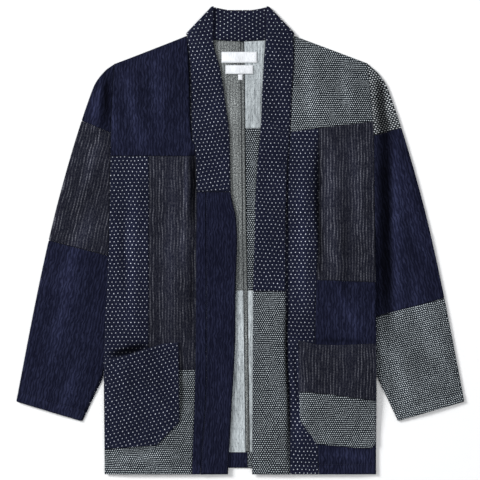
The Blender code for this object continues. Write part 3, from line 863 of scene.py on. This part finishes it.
def lay_panel(node, cloth, left, right, low, high, floor, thickness=CLOTH, crease_table=FRONT_CREASES,
              step=None, straight=False, lowest=None, slant=0.0, **kinds):
    """Lay a flat patch between two side edges and two cross edges, standing on a floor height.

    No crease takes it below lowest. slant is how far the cloth's rows climb across the patch."""
    low_y, high_y = read(low, 0.5), read(high, 0.5)
    middle_y = (low_y + high_y) / 2
    width = float(read(right, middle_y) - read(left, middle_y))
    length = float(high_y - low_y)
    across, along = grid(width, length, step or GRID_STEPS.get(cloth, PLAIN_STEP))
    y = mix(read(low, across, True) + HALF_SEAM, read(high, across, True) - HALF_SEAM, along)
    x = mix(read(left, y, straight) + HALF_SEAM, read(right, y, straight) - HALF_SEAM, across)
    from_edge = edge_distance(across, along, width, length)
    folds = creases(crease_table, x, y)
    height = floor(x, y, across) + folds
    if lowest:
        height = np.maximum(height, lowest(x, y))
    outer, inner = skins(x, y, height, thickness)
    grain = along_weave(x, y - slant * x)
    relief = ruffle(cloth, grain) * ramp(from_edge, 0.0, RELIEF_START) - rim_drop(from_edge)
    if low == HEM:
        relief = relief + hem_rise(y - HEM_Y)
    return lay_cloth(node, cloth, outer, inner, relief, grain, from_edge, folds, **kinds)


def on(floor):
    """Let a floor height that needs only the place serve a patch."""
    return lambda x, y, across: floor(x, y)


# %% [markdown]
# Down the middle of the back the seam allowances of both halves lie open as a narrow band. Three blank
# labels are sewn below the neck, a wide one, a narrower one and a small tab.

# %% The seam band and the labels
LABEL = 0.0006
BACK_CREASES = creases_in_mm(
    (-12, 330, -10, 100, 7, 0.6), (24, 190, 26, -60, 6, 0.6), (6, -120, 10, -360, 8, 0.6),
)
CENTRE_STRIP_R = (At(0.357, -0.001), At(FACING_Y, 0.009))
CENTRE_STRIP_L = (At(0.357, 0.007), At(FACING_Y, 0.017))
FINE_STEP = GridStep(0.0020, 0.0040)
lay_panel("back_centre_seam", "seam_band", CENTRE_STRIP_R, CENTRE_STRIP_L, level(FACING_Y), level(0.3565),
          on(facing_floor), FACING, BACK_CREASES, FINE_STEP, clear=0.0001, rests_on=["back_R_upper_cloth"])

Label = namedtuple("Label", "node left_x right_x low_y high_y")
LABELS = (
    Label("label_main", -0.034, 0.030, 0.318, 0.338),
    Label("label_second", -0.027, 0.023, 0.298, 0.314),
    Label("label_size", -0.004, 0.004, 0.287, 0.2975),
)
for label in LABELS:
    left = (At(label.low_y, label.left_x), At(label.high_y, label.left_x))
    right = (At(label.low_y, label.right_x), At(label.high_y, label.right_x))
    lay_panel(label.node, "blank_label", left, right, level(label.low_y), level(label.high_y),
              on(label_floor), LABEL, BACK_CREASES, FINE_STEP, clear=0.0, rests_on=["back_R_upper_cloth"])

# %% [markdown]
# The back shows its inside through the open front and its outside from below. It rests on the surface, so
# its underside stays flat. Its two faces are different sides of the same cloth, so the shell has two
# materials: the reverse on its upper skin and the face cloth on its lower one.

# %% The back
def back_top(side):
    """The top edge of one half of the back: the neck seam, then the shoulder line."""
    middle, edge = CENTRE_BACK[0].x, SIDE[side][0].x
    half = sorted((corner for corner in NECK_SEAM if corner.x * side_sign(side) >= 0),
                  key=lambda corner: abs(corner.x))
    shares = [0.0] + [(corner.x - middle) / (edge - middle) for corner in half[1:]] + [1.0]
    heights = [corner.y for corner in half] + [SIDE[side][0].y]
    if side == "R":
        shares = [1.0 - share for share in shares]
    return [Across(share, y) for share, y in zip(shares, heights)]


def lay_back(node, cloth, side, low, high, face, floor=back_floor, thickness=CLOTH, clear=0.0, rests_on=(),
             trims=()):
    left, right = (SIDE["R"], CENTRE_BACK) if side == "R" else (CENTRE_BACK, SIDE["L"])
    lay_panel(node, cloth, left, right, low, high, on(floor), thickness, BACK_CREASES, HIDDEN_STEP,
              clear=clear, reverse=face, rests_on=rests_on, trims=trims)


WAIST, BACK_HEM, FACING_TOP, CHECK_TOP = (level(y) for y in (WAIST_Y, BACK_HEM_Y, FACING_Y, 0.200))
lay_back("back_R_upper", "grey_reverse", "R", WAIST, back_top("R"), "striped_navy",
         trims=["back_centre_seam_cloth", "label_size_cloth"])
lay_back("back_R_lower", "pale_reverse", "R", BACK_HEM, WAIST, "dotted_navy")
lay_back("back_L_upper", "pale_reverse", "L", CHECK_TOP, back_top("L"), "dotted_navy")
lay_back("back_L_middle", "fine_check", "L", WAIST, CHECK_TOP, "fine_check")
lay_back("back_L_lower", "pale_reverse", "L", BACK_HEM, WAIST, "dotted_navy")
lay_back("back_hem_R", "navy_sashiko", "R", BACK_HEM, FACING_TOP, None, facing_floor, FACING, 0.0001,
         ["back_R_lower_cloth"])
lay_back("back_hem_L", "fine_check", "L", BACK_HEM, FACING_TOP, None, facing_floor, FACING, 0.0001,
         ["back_L_lower_cloth"])

# %% [markdown]
# The fronts are nine patches. Neighbours share a seam table, so their edges meet all along, and each
# follows the same creases, which run on across the seams as they do in the real jacket. Just above the
# pockets' mouths and beside their inner sides a few troughs belong to the fronts alone: they lower the cloth
# a little, and through the creases' tint they are painted shadow that the pockets cast on it.

# %% The fronts
FRONT_SEAM_R = COLLAR_SEAM["R"] + STRIP_OUTER[1:]
R_HEM_TOP, R_PATCH_TOP = level(-0.2345), level(0.150)
L_SHOULDER_LOW, L_DOTS_TOP, L_NAVY_TOP = sloped(0.194, 0.2125), sloped(0.194, 0.2004), sloped(-0.072, -0.076)
Patch = namedtuple("Patch", "node cloth left right low high over")
FRONTS = (
    Patch("front_R_shoulder_navy", "navy_sashiko", SIDE["R"], FRONT_SEAM_R, R_PATCH_TOP,
          sloped(0.316, NECK_Y), "back_R_upper"),
    Patch("front_R_dots", "dotted_navy", SIDE["R"], R_MIDDLE, R_HEM_TOP, R_PATCH_TOP, "back_R_upper"),
    Patch("front_R_stripes", "striped_navy", R_MIDDLE, FRONT_SEAM_R, R_HEM_TOP, R_PATCH_TOP, "back_R_upper"),
    Patch("front_R_hem_check", "fine_check", SIDE["R"], STRIP_OUTER, HEM, R_HEM_TOP, "back_R_lower"),
    Patch("front_R_edge_navy", "navy_sashiko", STRIP_OUTER, STRIP_INNER, HEM, level(COLLAR_SPLIT["R"]),
          "back_R_lower"),
    Patch("front_L_shoulder_check", "fine_check", COLLAR_SEAM["L"], SIDE["L"], L_SHOULDER_LOW,
          sloped(NECK_Y, 0.317), "back_L_upper"),
    Patch("front_L_dots", "dotted_navy", COLLAR_SEAM["L"], L_MIDDLE, HEM, L_DOTS_TOP, "back_L_middle"),
    Patch("front_L_stripes", "striped_navy", L_MIDDLE, SIDE["L"], L_NAVY_TOP, sloped(0.2004, 0.2125),
          "back_L_middle"),
    Patch("front_L_navy", "navy_sashiko", L_MIDDLE, SIDE["L"], HEM, L_NAVY_TOP, "back_L_lower"),
)
MOUTH_SHADOWS = creases_in_mm(
    (-238, -206, -166, -190, 6.5, -3.4), (115, -180, 230, -183, 3, -1), (-107, -190, -106, -330, 3, -2),
    (101, -190, 102, -320, 2.6, -1.8),
)
for patch in FRONTS:
    lay_panel(patch.node, patch.cloth, patch.left, patch.right, patch.low, patch.high, on(front_floor),
              crease_table=FRONT_CREASES + MOUTH_SHADOWS, lowest=front_rest, rests_on=[patch.over + "_cloth"])


# %% [markdown]
# The patch pockets are sewn down on three sides, with a slanted lower corner towards the opening, and
# their mouths stand a little open. They are made from the fronts' own heights, moved out. The dotted
# pocket was cut off the straight, so its rows climb towards the opening, in line with its mouth.

# %% The pockets
def pocket_floor_between(mouth, bottom):
    """The floor height of a pocket between its mouth and its lower edge."""
    return lambda x, y, across: pocket_floor(x, y, across, read(mouth, across), read(bottom, across))


POCKET_SLANT = 0.30


def pocket_rest(x, y):
    return front_rest(x, y) + CLOTH + SEAM_GAP


floor_r = pocket_floor_between(POCKET_R_MOUTH, POCKET_R_BOTTOM)
floor_l = pocket_floor_between(POCKET_L_MOUTH, POCKET_L_BOTTOM)
lay_panel("pocket_R_dots", "dotted_navy", SIDE["R"], POCKET_R_SIDE, POCKET_R_BOTTOM, POCKET_R_MOUTH, floor_r,
          straight=True, lowest=pocket_rest, slant=POCKET_SLANT, rests_on=["front_R_hem_check_cloth"])
lay_panel("pocket_L_stripes", "striped_navy", POCKET_L_SIDE, SIDE["L"], POCKET_L_SEAM, POCKET_L_MOUTH,
          floor_l, straight=True, lowest=pocket_rest, rests_on=["front_L_navy_cloth"])
lay_panel("pocket_L_check", "fine_check", POCKET_L_SIDE, SIDE["L"], POCKET_L_BOTTOM, POCKET_L_SEAM, floor_l,
          straight=True, lowest=pocket_rest, rests_on=["front_L_navy_cloth"])

# %% [markdown]
# The collar is one folded band, twice as thick as the rest. It runs up each front edge, turns over at the
# neck and joins behind it. The upper stretches end in a half turn about the slanted line from the neck
# point to the peak, where the band bends back under itself.

# %% The collar band
COLLAR_CLEAR = 0.0008
FRONT_BAND_WIDTH = 0.058
NECK_BAND_WIDTH = 0.060
BACK_BAND_WIDTH = 0.056
BAND_RELIEF_START = 0.005
BAND_DROP = 0.0016
BAND_RIM = 0.0040
TURN_STRETCH = 0.004
NECK_TURN_ROWS = 10
NECK_WARP = {"R": (-0.13, 0.99), "L": (0.04, 1.00)}


def collar_relief(cloth, grain, from_edge, turned=0.0):
    """Crinkle of the band, with a rounder rim for its double cloth."""
    raised = ruffle(cloth, grain) * ramp(from_edge, 0.0, BAND_RELIEF_START) * (1.0 - turned)
    return raised - rim_drop(from_edge, BAND_DROP, BAND_RIM)


def lay_front_band(node, cloth, side, seam):
    """Lay a flat stretch of the band, from the hem up."""
    left, right = (seam, FREE_EDGE["R"]) if side == "R" else (FREE_EDGE["L"], seam)
    high_y = COLLAR_SPLIT[side]
    width, length = FRONT_BAND_WIDTH, high_y - HEM_Y
    across, along = grid(width, length, GRID_STEPS.get(cloth, PLAIN_STEP))
    y = mix(HEM_Y + HALF_SEAM, high_y - HALF_SEAM, along)
    x = mix(read(left, y) + HALF_SEAM, read(right, y) - HALF_SEAM, across)
    from_edge = edge_distance(across, along, width, length)
    folds = creases(FRONT_CREASES, x, y)
    height = np.maximum(collar_floor(x, y) + folds, front_rest(x, y))
    outer, inner = skins(x, y, height, COLLAR)
    grain = np.stack([across * width, y], axis=-1)
    lay_cloth(node, cloth, outer, inner, collar_relief(cloth, grain, from_edge), grain, from_edge, folds,
              COLLAR_CLEAR, rests_on=["back_L_lower_cloth"])


def lay_neck_band(node, cloth, side):
    """Lay the top stretch of the band, with its half turn at the neck."""
    sign, low_y = side_sign(side), COLLAR_SPLIT[side]
    slant = Vector((sign * (PEAK_X - NECK_X), PEAK_Y - NECK_Y)).normalized()
    outward = (slant.y * sign, -slant.x * sign)
    width, length = NECK_BAND_WIDTH, NECK_Y - low_y
    flat = open_stops(length, PLAIN_STEP.along)
    turns = math.pi * np.arange(1, NECK_TURN_ROWS + 1) / NECK_TURN_ROWS
    raised = np.append(flat, np.ones(NECK_TURN_ROWS))
    turn = np.append(np.zeros(len(flat)), turns)
    across, raised = np.meshgrid(stops(width, PLAIN_STEP.across), raised)
    turn = np.broadcast_to(turn[:, None], across.shape)
    seam_y = mix(low_y + HALF_SEAM, NECK_Y, raised)
    free_y = mix(low_y + HALF_SEAM, PEAK_Y, raised)
    x = mix(read(COLLAR_SEAM[side], seam_y) - sign * HALF_SEAM, read(FREE_EDGE[side], free_y), across)
    y = mix(seam_y, free_y, across)
    folds = creases(FRONT_CREASES, x, y) * (turn == 0.0)
    lying = np.maximum(collar_floor(x, y) + folds, front_rest(x, y))

    def sheet(through):
        radius = NECK_GAP / 2 + through
        turned = COLLAR + NECK_GAP / 2 + radius * np.cos(turn)
        away = radius * np.sin(turn)
        height = np.where(turn > 0.0, turned, lying + through)
        return np.stack([x + outward[0] * away, y + outward[1] * away, height], axis=-1)

    from_edge = np.minimum(np.minimum(across, 1 - across) * width, raised * length)
    grain = along_weave(x, y + TURN_STRETCH * turn, NECK_WARP[side])
    relief = collar_relief(cloth, grain, from_edge, ramp(turn, 0.0, 1.5))
    lay_cloth(node, cloth, sheet(COLLAR), sheet(0.0), relief, grain, from_edge, folds, 0.0,
              rests_on=["back_R_upper_cloth"])


def lay_back_band(node, cloth):
    """Lay the band behind the neck, from one half turn to the other."""
    inset = 2 * SEAM_GAP
    across, along = grid(2 * NECK_X, BACK_BAND_WIDTH, PLAIN_STEP)
    seam_x = mix(-NECK_X + inset, NECK_X - inset, across)
    top_x = mix(-PEAK_X + inset, PEAK_X - inset, across)
    x = mix(seam_x, top_x, along)
    y = mix(read(NECK_SEAM, seam_x) + HALF_SEAM, read(NECK_TOP, top_x), along)
    outer, inner = skins(x, y, np.zeros_like(x), COLLAR)
    from_edge = np.minimum(along, 1 - along) * BACK_BAND_WIDTH
    grain = np.stack([y, x], axis=-1)
    relief = collar_relief(cloth, grain, from_edge)
    lay_cloth(node, cloth, outer, inner, relief, grain, from_edge, np.zeros_like(x), 0.0)


lay_front_band("collar_R_navy", "navy_sashiko", "R", STRIP_INNER)
lay_front_band("collar_L_check", "fine_check", "L", COLLAR_SEAM["L"])
lay_neck_band("collar_R_dots", "dotted_navy", "R")
lay_neck_band("collar_L_dots", "dotted_navy", "L")
lay_back_band("collar_back", "dotted_navy")

# %% [markdown]
# A sleeve is a flat tube: a back wall on the surface, a fold at its outer edge, and a front wall on top.
# One sheet of points goes all the way round it, so the cloth runs on over the fold as the real one does.
# The front wall carries the folds that the arm's cut leaves near the armhole.

# %% The sleeves
FOLD_GAP = 0.0008
SLEEVE_LOFT = 0.0015
ARMPIT_Y = 0.035
# As on the fronts, each crease's height also tints the cloth, as painted shade in its trough and painted
# highlight on its ridge; the deep trough beside the left armhole paints the dark band there.
SLEEVE_CREASES = {
    "R": creases_in_mm(
        (-238, 292, -240, 205, 11, -3.4), (-246, 285, -262, 200, 8, 2.8), (-262, 262, -276, 205, 8, 2.2),
        (-243, 195, -280, 110, 7, 1.2), (-252, 150, -300, 60, 8, 1.2), (-262, 60, -330, -100, 12, 1.8),
        (-300, -60, -350, -230, 13, 1.8), (-345, 10, -372, -140, 9, 1.4), (-290, -230, -325, -310, 10, 1.6)),
    "L": creases_in_mm(
        (282, 195, 284, -150, 11, 2.8), (259, 205, 259, -160, 16, -4.8), (250, 300, 260, 190, 14, -3.6),
        (300, 110, 340, -60, 11, 1.8), (262, 280, 270, 215, 8, 2), (310, -50, 352, -220, 13, 1.8),
        (345, -110, 385, -270, 9, 1.4), (275, -190, 300, -300, 11, 1.6)),
}
FOLD_STEPS = 8
OUTER_RADIUS = CLOTH + FOLD_GAP / 2
SLEEVE_WALL = 0.120
SLEEVE_CLEAR = 0.0003
LOFT_WIDTHS = (0.010, 0.070)
FOLLOW_END = 0.050
TUCK_ENDS = (0.004, 0.012)


def sleeve_ring(width, step, part):
    """Columns round the sleeve: share of the wall's width, turn about the fold, and 1 on the front wall."""
    front, back = open_stops(width, step.across), open_stops(width, HIDDEN_STEP.across)
    turns = math.pi * np.arange(1, FOLD_STEPS) / FOLD_STEPS
    split = SEAM_GAP / OUTER_RADIUS
    if part == "back":
        turns = np.append(turns[turns < math.pi / 2 - split], math.pi / 2 - split)
        return np.concatenate([back, np.ones(len(turns))]), np.append(np.zeros(len(back)), turns), 0.0
    if part == "front":
        turns = np.insert(turns[turns > math.pi / 2 + split], 0, math.pi / 2 + split)
        back = back[:0]
    share = np.concatenate([back, np.ones(len(turns)), front[::-1]])
    turn = np.concatenate([np.zeros(len(back)), turns, np.full(len(front), math.pi)])
    on_front = np.concatenate([np.zeros(len(back) + len(turns)), np.ones(len(front))])
    return share, turn, on_front


def lay_sleeve(node, cloth, side, upper, lower, part="whole", front_inset=0.0):
    """Wrap one part of a sleeve from the back wall's underarm edge round the fold to the front's."""
    sign = side_sign(side)
    step = GRID_STEPS.get(cloth, PLAIN_STEP) if part != "back" else HIDDEN_STEP
    length = (upper.outer_y - lower.outer_y + upper.inner_y - lower.inner_y) / 2
    share, turn, on_front = sleeve_ring(SLEEVE_WALL, step, part)
    share, along = np.meshgrid(share, stops(length, step.along))
    turn = np.broadcast_to(turn, share.shape)
    outer_y = mix(lower.outer_y + HALF_SEAM, upper.outer_y - HALF_SEAM, along)
    inner_y = mix(lower.inner_y + HALF_SEAM, upper.inner_y - HALF_SEAM, along)
    outer_x = sign * read(SLEEVE_OUTER, outer_y)
    inner_x = read(SIDE[side], inner_y) + sign * (HALF_SEAM - read(UNDERARM, inner_y) + front_inset)
    width = np.hypot(outer_x - inner_x, outer_y - inner_y)
    along_x, along_y = (outer_x - inner_x) / width, (outer_y - inner_y) / width
    flat_end = width - OUTER_RADIUS
    wall_x, wall_y = inner_x + along_x * flat_end * share, inner_y + along_y * flat_end * share

    arch = np.sin(math.pi * np.clip(share, 0.0, 1.0)).clip(0.0) ** 0.8
    gap = mix(SEAM_GAP, FOLD_GAP, ramp(share, 0.0, 1.0)) + SLEEVE_LOFT * arch * ramp(width, *LOFT_WIDTHS)
    folds = creases(SLEEVE_CREASES[side], wall_x, wall_y) * on_front * arch
    gap = np.maximum(gap + folds, SEAM_GAP)
    follow = SIDE_LIFT * lift_along(inner_y) * ramp(inner_y, LIFT_TOP[1], ARMPIT_Y)
    follow = follow * (1.0 - ramp(flat_end * share, 0.0, FOLLOW_END))

    def sheet(radius):
        away = radius * np.sin(turn)
        height = OUTER_RADIUS - radius * np.cos(turn) + on_front * (gap - FOLD_GAP) + follow
        return np.stack([wall_x + along_x * away, wall_y + along_y * away, height], axis=-1)

    outer, inner = sheet(OUTER_RADIUS), sheet(FOLD_GAP / 2)
    axis = (sign * (SLEEVE_OUTER[4].x - SLEEVE_OUTER[-1].x), SLEEVE_OUTER[4].y - SLEEVE_OUTER[-1].y)
    grain = along_weave(wall_x, wall_y, axis)
    grain[..., 0] += sign * OUTER_RADIUS * turn
    from_edge = np.minimum(flat_end * share, np.minimum(along, 1 - along) * length)
    upward = ramp(turn, math.pi / 2, math.pi)
    tucked = 1.0 - ramp(flat_end * share, *TUCK_ENDS)
    relief = ruffle(cloth, grain) * ramp(from_edge, 0.0, RELIEF_START) * upward * (1.0 - 0.8 * tucked)
    relief = relief - rim_drop(from_edge)
    if lower == SLEEVE_SEAMS[side][-1]:
        relief = relief + hem_rise(along * length) * upward
    lay_cloth(node, cloth, outer, inner, relief, grain, from_edge, folds, SLEEVE_CLEAR)


Sleeve = namedtuple("Sleeve", "node cloth side seam part inset")
SLEEVES = (
    Sleeve("sleeve_R_top_navy", "navy_sashiko", "R", 0, "whole", 0.0),
    Sleeve("sleeve_R_stripes", "striped_navy", "R", 1, "whole", 0.0),
    Sleeve("sleeve_R_cuff_dots", "dotted_navy", "R", 2, "back", 0.0),
    Sleeve("sleeve_R_cuff_navy", "navy_sashiko", "R", 2, "front", 0.003),
    Sleeve("sleeve_L_top_check", "coarse_check", "L", 0, "whole", 0.0),
    Sleeve("sleeve_L_navy", "navy_sashiko", "L", 1, "whole", 0.0),
    Sleeve("sleeve_L_cuff_check", "fine_check", "L", 2, "whole", 0.0),
)
for sleeve in SLEEVES:
    upper, lower = SLEEVE_SEAMS[sleeve.side][sleeve.seam:sleeve.seam + 2]
    lay_sleeve(sleeve.node, sleeve.cloth, sleeve.side, upper, lower, sleeve.part, sleeve.inset)

# %% [markdown]
# Stitching holds the layers: a line beside each seam and edge of the collar band, round the pockets and
# the labels, along the band of the back, and 18 mm above the hems of the fronts and sleeves. A stitch
# shows as a short bar of thread that dips into the cloth at both ends, so each is a small ball, stretched
# along its line. A plumb line dropped on the finished cloths gives its height and slope, so a line of
# stitches follows every crease.

# %% Threads
def make_thread(name, color):
    """A twisted cotton thread, a little uneven in colour."""
    tree, shader = new_material(name)
    place = Wire(tree, tree.nodes.new("ShaderNodeTexCoord").outputs["Object"])
    uneven = place.node("ShaderNodeTexNoise", {}, {"Vector": place, "Scale": 900.0, "Detail": 2.0})
    light = 0.65 + uneven * 0.70
    lit = place.node("ShaderNodeVectorMath", {"operation": "SCALE"}, {0: color, "Scale": light})
    tree.links.new(lit.socket, shader.inputs["Base Color"])
    shader.inputs["Roughness"].default_value = 0.70
    shader.inputs["Specular IOR Level"].default_value = 0.15
    print("thread", name)


make_thread("navy_thread", (0.028, 0.032, 0.060))
make_thread("black_thread", (0.006, 0.006, 0.008))
make_thread("white_thread", (0.70, 0.72, 0.74))

# %% Paths of the stitching
STITCH_PITCH = 0.0034
STITCH_SIZE = (0.0025, 0.00055, 0.00045)
STITCH_INSET = 0.0025
BAND_STITCH_INSET = 0.0009
BAND_STITCH_TOP = 0.285
HEM_END = 0.003
SPLIT_END = 0.002
NECK_END = 0.006
PEAK_END = 0.012
FOLD_END = 0.004
UNDERARM_END = 0.006
EVEN = np.linspace(0.0, 1.0, 60)


def beside_seam(rows, low_y, high_y, inset):
    y = mix(low_y, high_y, EVEN)
    return np.stack([read(rows, y) + inset, y], axis=-1)


def across_patch(rows, left, right, inset):
    """A path from side to side of a patch, at a set distance from one of its cross seams."""
    y = read(rows, EVEN) + inset
    x = mix(read(left, y, True) + STITCH_INSET, read(right, y, True) - STITCH_INSET, EVEN)
    return np.stack([x, y], axis=-1)


def round_label(label, inset=0.0012):
    left_x, right_x = label.left_x + inset, label.right_x - inset
    low_y, high_y = label.low_y + inset, label.high_y - inset
    return np.array([(left_x, low_y), (right_x, low_y), (right_x, high_y), (left_x, high_y), (left_x, low_y)])


def cuff_path(side):
    sign, cuff = side_sign(side), SLEEVE_SEAMS[side][-1]
    outer_y, inner_y = cuff.outer_y + HEM_ALLOWANCE, cuff.inner_y + HEM_ALLOWANCE
    outer_x = sign * (float(read(SLEEVE_OUTER, outer_y)) + OUTER_RADIUS - FOLD_END)
    inner_x = float(read(SIDE[side], inner_y)) - sign * (float(read(UNDERARM, inner_y)) - UNDERARM_END)
    return np.array([(inner_x, inner_y), (outer_x, outer_y)])


collar_paths, pocket_paths, hem_paths = [], [], [cuff_path("R"), cuff_path("L")]
for side, seam in (("R", STRIP_INNER), ("L", COLLAR_SEAM["L"])):
    split_y, inset = COLLAR_SPLIT[side], side_sign(side) * STITCH_INSET
    collar_paths += [beside_seam(seam, HEM_Y + HEM_END, split_y - SPLIT_END, -inset),
                     beside_seam(COLLAR_SEAM[side], split_y + SPLIT_END, NECK_Y - NECK_END, -inset),
                     beside_seam(FREE_EDGE[side], HEM_Y + HEM_END, PEAK_Y - PEAK_END, inset)]
for mouth, bottom, left, right in ((POCKET_R_MOUTH, POCKET_R_BOTTOM, SIDE["R"], POCKET_R_SIDE),
                                   (POCKET_L_MOUTH, POCKET_L_BOTTOM, POCKET_L_SIDE, SIDE["L"])):
    low_y, high_y = float(read(bottom, 0.5)) + STITCH_INSET, float(read(mouth, 0.5)) - STITCH_INSET
    pocket_paths += [across_patch(bottom, left, right, STITCH_INSET),
                     across_patch(mouth, left, right, -STITCH_INSET),
                     across_patch(mouth, left, right, -HEM_ALLOWANCE),
                     beside_seam(left, low_y, high_y, STITCH_INSET),
                     beside_seam(right, low_y, high_y, -STITCH_INSET)]
for left, right in ((SIDE["R"], STRIP_INNER), (COLLAR_SEAM["L"], SIDE["L"])):
    hem_paths.append(across_patch(HEM, left, right, HEM_ALLOWANCE))
band_paths = [beside_seam(seam, FACING_Y, BAND_STITCH_TOP, inset)
              for seam, inset in ((CENTRE_STRIP_R, BAND_STITCH_INSET), (CENTRE_STRIP_L, -BAND_STITCH_INSET))]
label_paths = [round_label(label) for label in LABELS]
print("lines of stitching:", len(collar_paths + pocket_paths + hem_paths + band_paths + label_paths))


# %% Laying the stitches
PLUMB_TOP = 0.1
LOOK_AHEAD = 0.001
SHORTEST_STEP = 0.0001


def cloth_tree():
    """All the finished cloths as one tree of faces, for the plumb line."""
    corners, faces = [], []
    for piece in bpy.context.scene.objects:
        if piece.name.endswith("_cloth"):
            first = len(corners)
            corners += [vertex.co for vertex in piece.data.vertices]
            faces += [[first + index for index in face.vertices] for face in piece.data.polygons]
    return BVHTree.FromPolygons(corners, faces)


def lay_stitches(name, thread, paths):
    """Place a stitch at each even step of the paths, and join them as one piece.

    Each path is filled on its own, because adding to a small mesh is much quicker."""
    mesh = bpy.data.meshes.new(name)
    stretch = Matrix.Diagonal((*STITCH_SIZE, 1.0))
    for path in paths:
        joined = bmesh.new()
        passed = np.append(0.0, np.cumsum(np.hypot(*np.diff(path, axis=0).T)))
        count = max(2, round(passed[-1] / STITCH_PITCH))
        for at in (np.arange(count) + 0.5) * passed[-1] / count:
            x, y = (float(np.interp(at, passed, path[:, axis])) for axis in (0, 1))
            next_x, next_y = (float(np.interp(at + LOOK_AHEAD, passed, path[:, axis])) for axis in (0, 1))
            place, normal = CLOTH_TREE.ray_cast((x, y, PLUMB_TOP), (0.0, 0.0, -1.0))[:2]
            if place is None:
                continue
            ahead = Vector((next_x - x, next_y - y, 0.0))
            if ahead.length < SHORTEST_STEP:
                ahead = Vector((1.0, 0.0, 0.0))
            ahead = (ahead - normal * ahead.dot(normal)).normalized()
            turn = Matrix((ahead, normal.cross(ahead), normal)).transposed().to_4x4()
            bmesh.ops.create_uvsphere(joined, u_segments=6, v_segments=3, radius=0.5,
                                      matrix=Matrix.Translation(place) @ turn @ stretch)
        joined.from_mesh(mesh)
        joined.to_mesh(mesh)
        joined.free()
    mesh.materials.append(CLOTHS[thread])
    mesh.polygons.foreach_set("use_smooth", np.ones(len(mesh.polygons), bool))
    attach(add_object(name, mesh), "root")
    print(name, "with", sum(len(face.vertices) - 2 for face in mesh.polygons), "triangles")


CLOTH_TREE = cloth_tree()
lay_stitches("collar_stitches", "navy_thread", collar_paths)
lay_stitches("pocket_stitches", "navy_thread", pocket_paths)
lay_stitches("hem_stitches", "navy_thread", hem_paths)
lay_stitches("back_band_stitches", "black_thread", band_paths)
lay_stitches("label_stitches", "white_thread", label_paths)

# %% [markdown]
# The jacket lies on a pale surface under soft daylight. A large panel of light from the upper left models
# the creases. Two weak ones, at the lower right and overhead, soften their shadows, and a pale world keeps
# the dark cloths from going black. The camera looks straight down from three metres, with a long lens, so
# the sleeves don't spread.

# %% Surface, light and camera
FLOOR_HALF = 3.0
FLOOR_Z = -0.0002
FLOOR_COLOR = (0.94, 0.94, 0.94, 1.0)
SKY_COLOR = (0.95, 0.97, 1.0, 1.0)
SKY_STRENGTH = 0.35
FRAME_WIDTH = 0.864
CAMERA_PLACE = (-0.0006, -0.0005, 3.0)
SENSOR = 36.0
Lamp = namedtuple("Lamp", "name place size power")
LAMPS = (
    Lamp("window", (-4.4, 2.6, 3.2), 1.9, 400.0),
    Lamp("fill", (1.4, -0.8, 2.6), 2.4, 16.0),
    Lamp("overhead", (0.0, 0.0, 3.4), 2.6, 16.0),
)

surface_mesh = bpy.data.meshes.new("surface")
surface_shape = bmesh.new()
bmesh.ops.create_grid(surface_shape, x_segments=1, y_segments=1, size=FLOOR_HALF)
surface_shape.to_mesh(surface_mesh)
surface_shape.free()
surface_mesh.transform(Matrix.Translation((0.0, 0.0, FLOOR_Z)))
paper = new_material("pale_surface")[1]
paper.inputs["Base Color"].default_value = FLOOR_COLOR
paper.inputs["Roughness"].default_value = 0.9
surface_mesh.materials.append(CLOTHS["pale_surface"])
add_object("surface", surface_mesh)

for lamp in LAMPS:
    panel = bpy.data.lights.new(lamp.name, "AREA")
    panel.shape = "SQUARE"
    panel.size = lamp.size
    panel.energy = lamp.power
    hung = add_object(lamp.name, panel)
    hung.location = lamp.place
    hung.rotation_euler = (Vector((0.0, 0.0, 0.0)) - Vector(lamp.place)).to_track_quat("-Z", "Y").to_euler()
    print("lamp", lamp.name, "with", lamp.power, "W")

sky = bpy.data.worlds.new("pale_room")
sky.use_nodes = True
sky.node_tree.nodes["Background"].inputs["Color"].default_value = SKY_COLOR
sky.node_tree.nodes["Background"].inputs["Strength"].default_value = SKY_STRENGTH
bpy.context.scene.world = sky
bpy.context.scene.view_settings.view_transform = "Standard"

camera_data = bpy.data.cameras.new("camera")
camera_data.sensor_width = SENSOR
camera_data.lens = SENSOR * CAMERA_PLACE[2] / FRAME_WIDTH
camera = add_object("camera", camera_data)
camera.location = CAMERA_PLACE
bpy.context.scene.camera = camera
print("camera", CAMERA_PLACE[2], "m up, with a lens of", round(camera_data.lens), "mm")
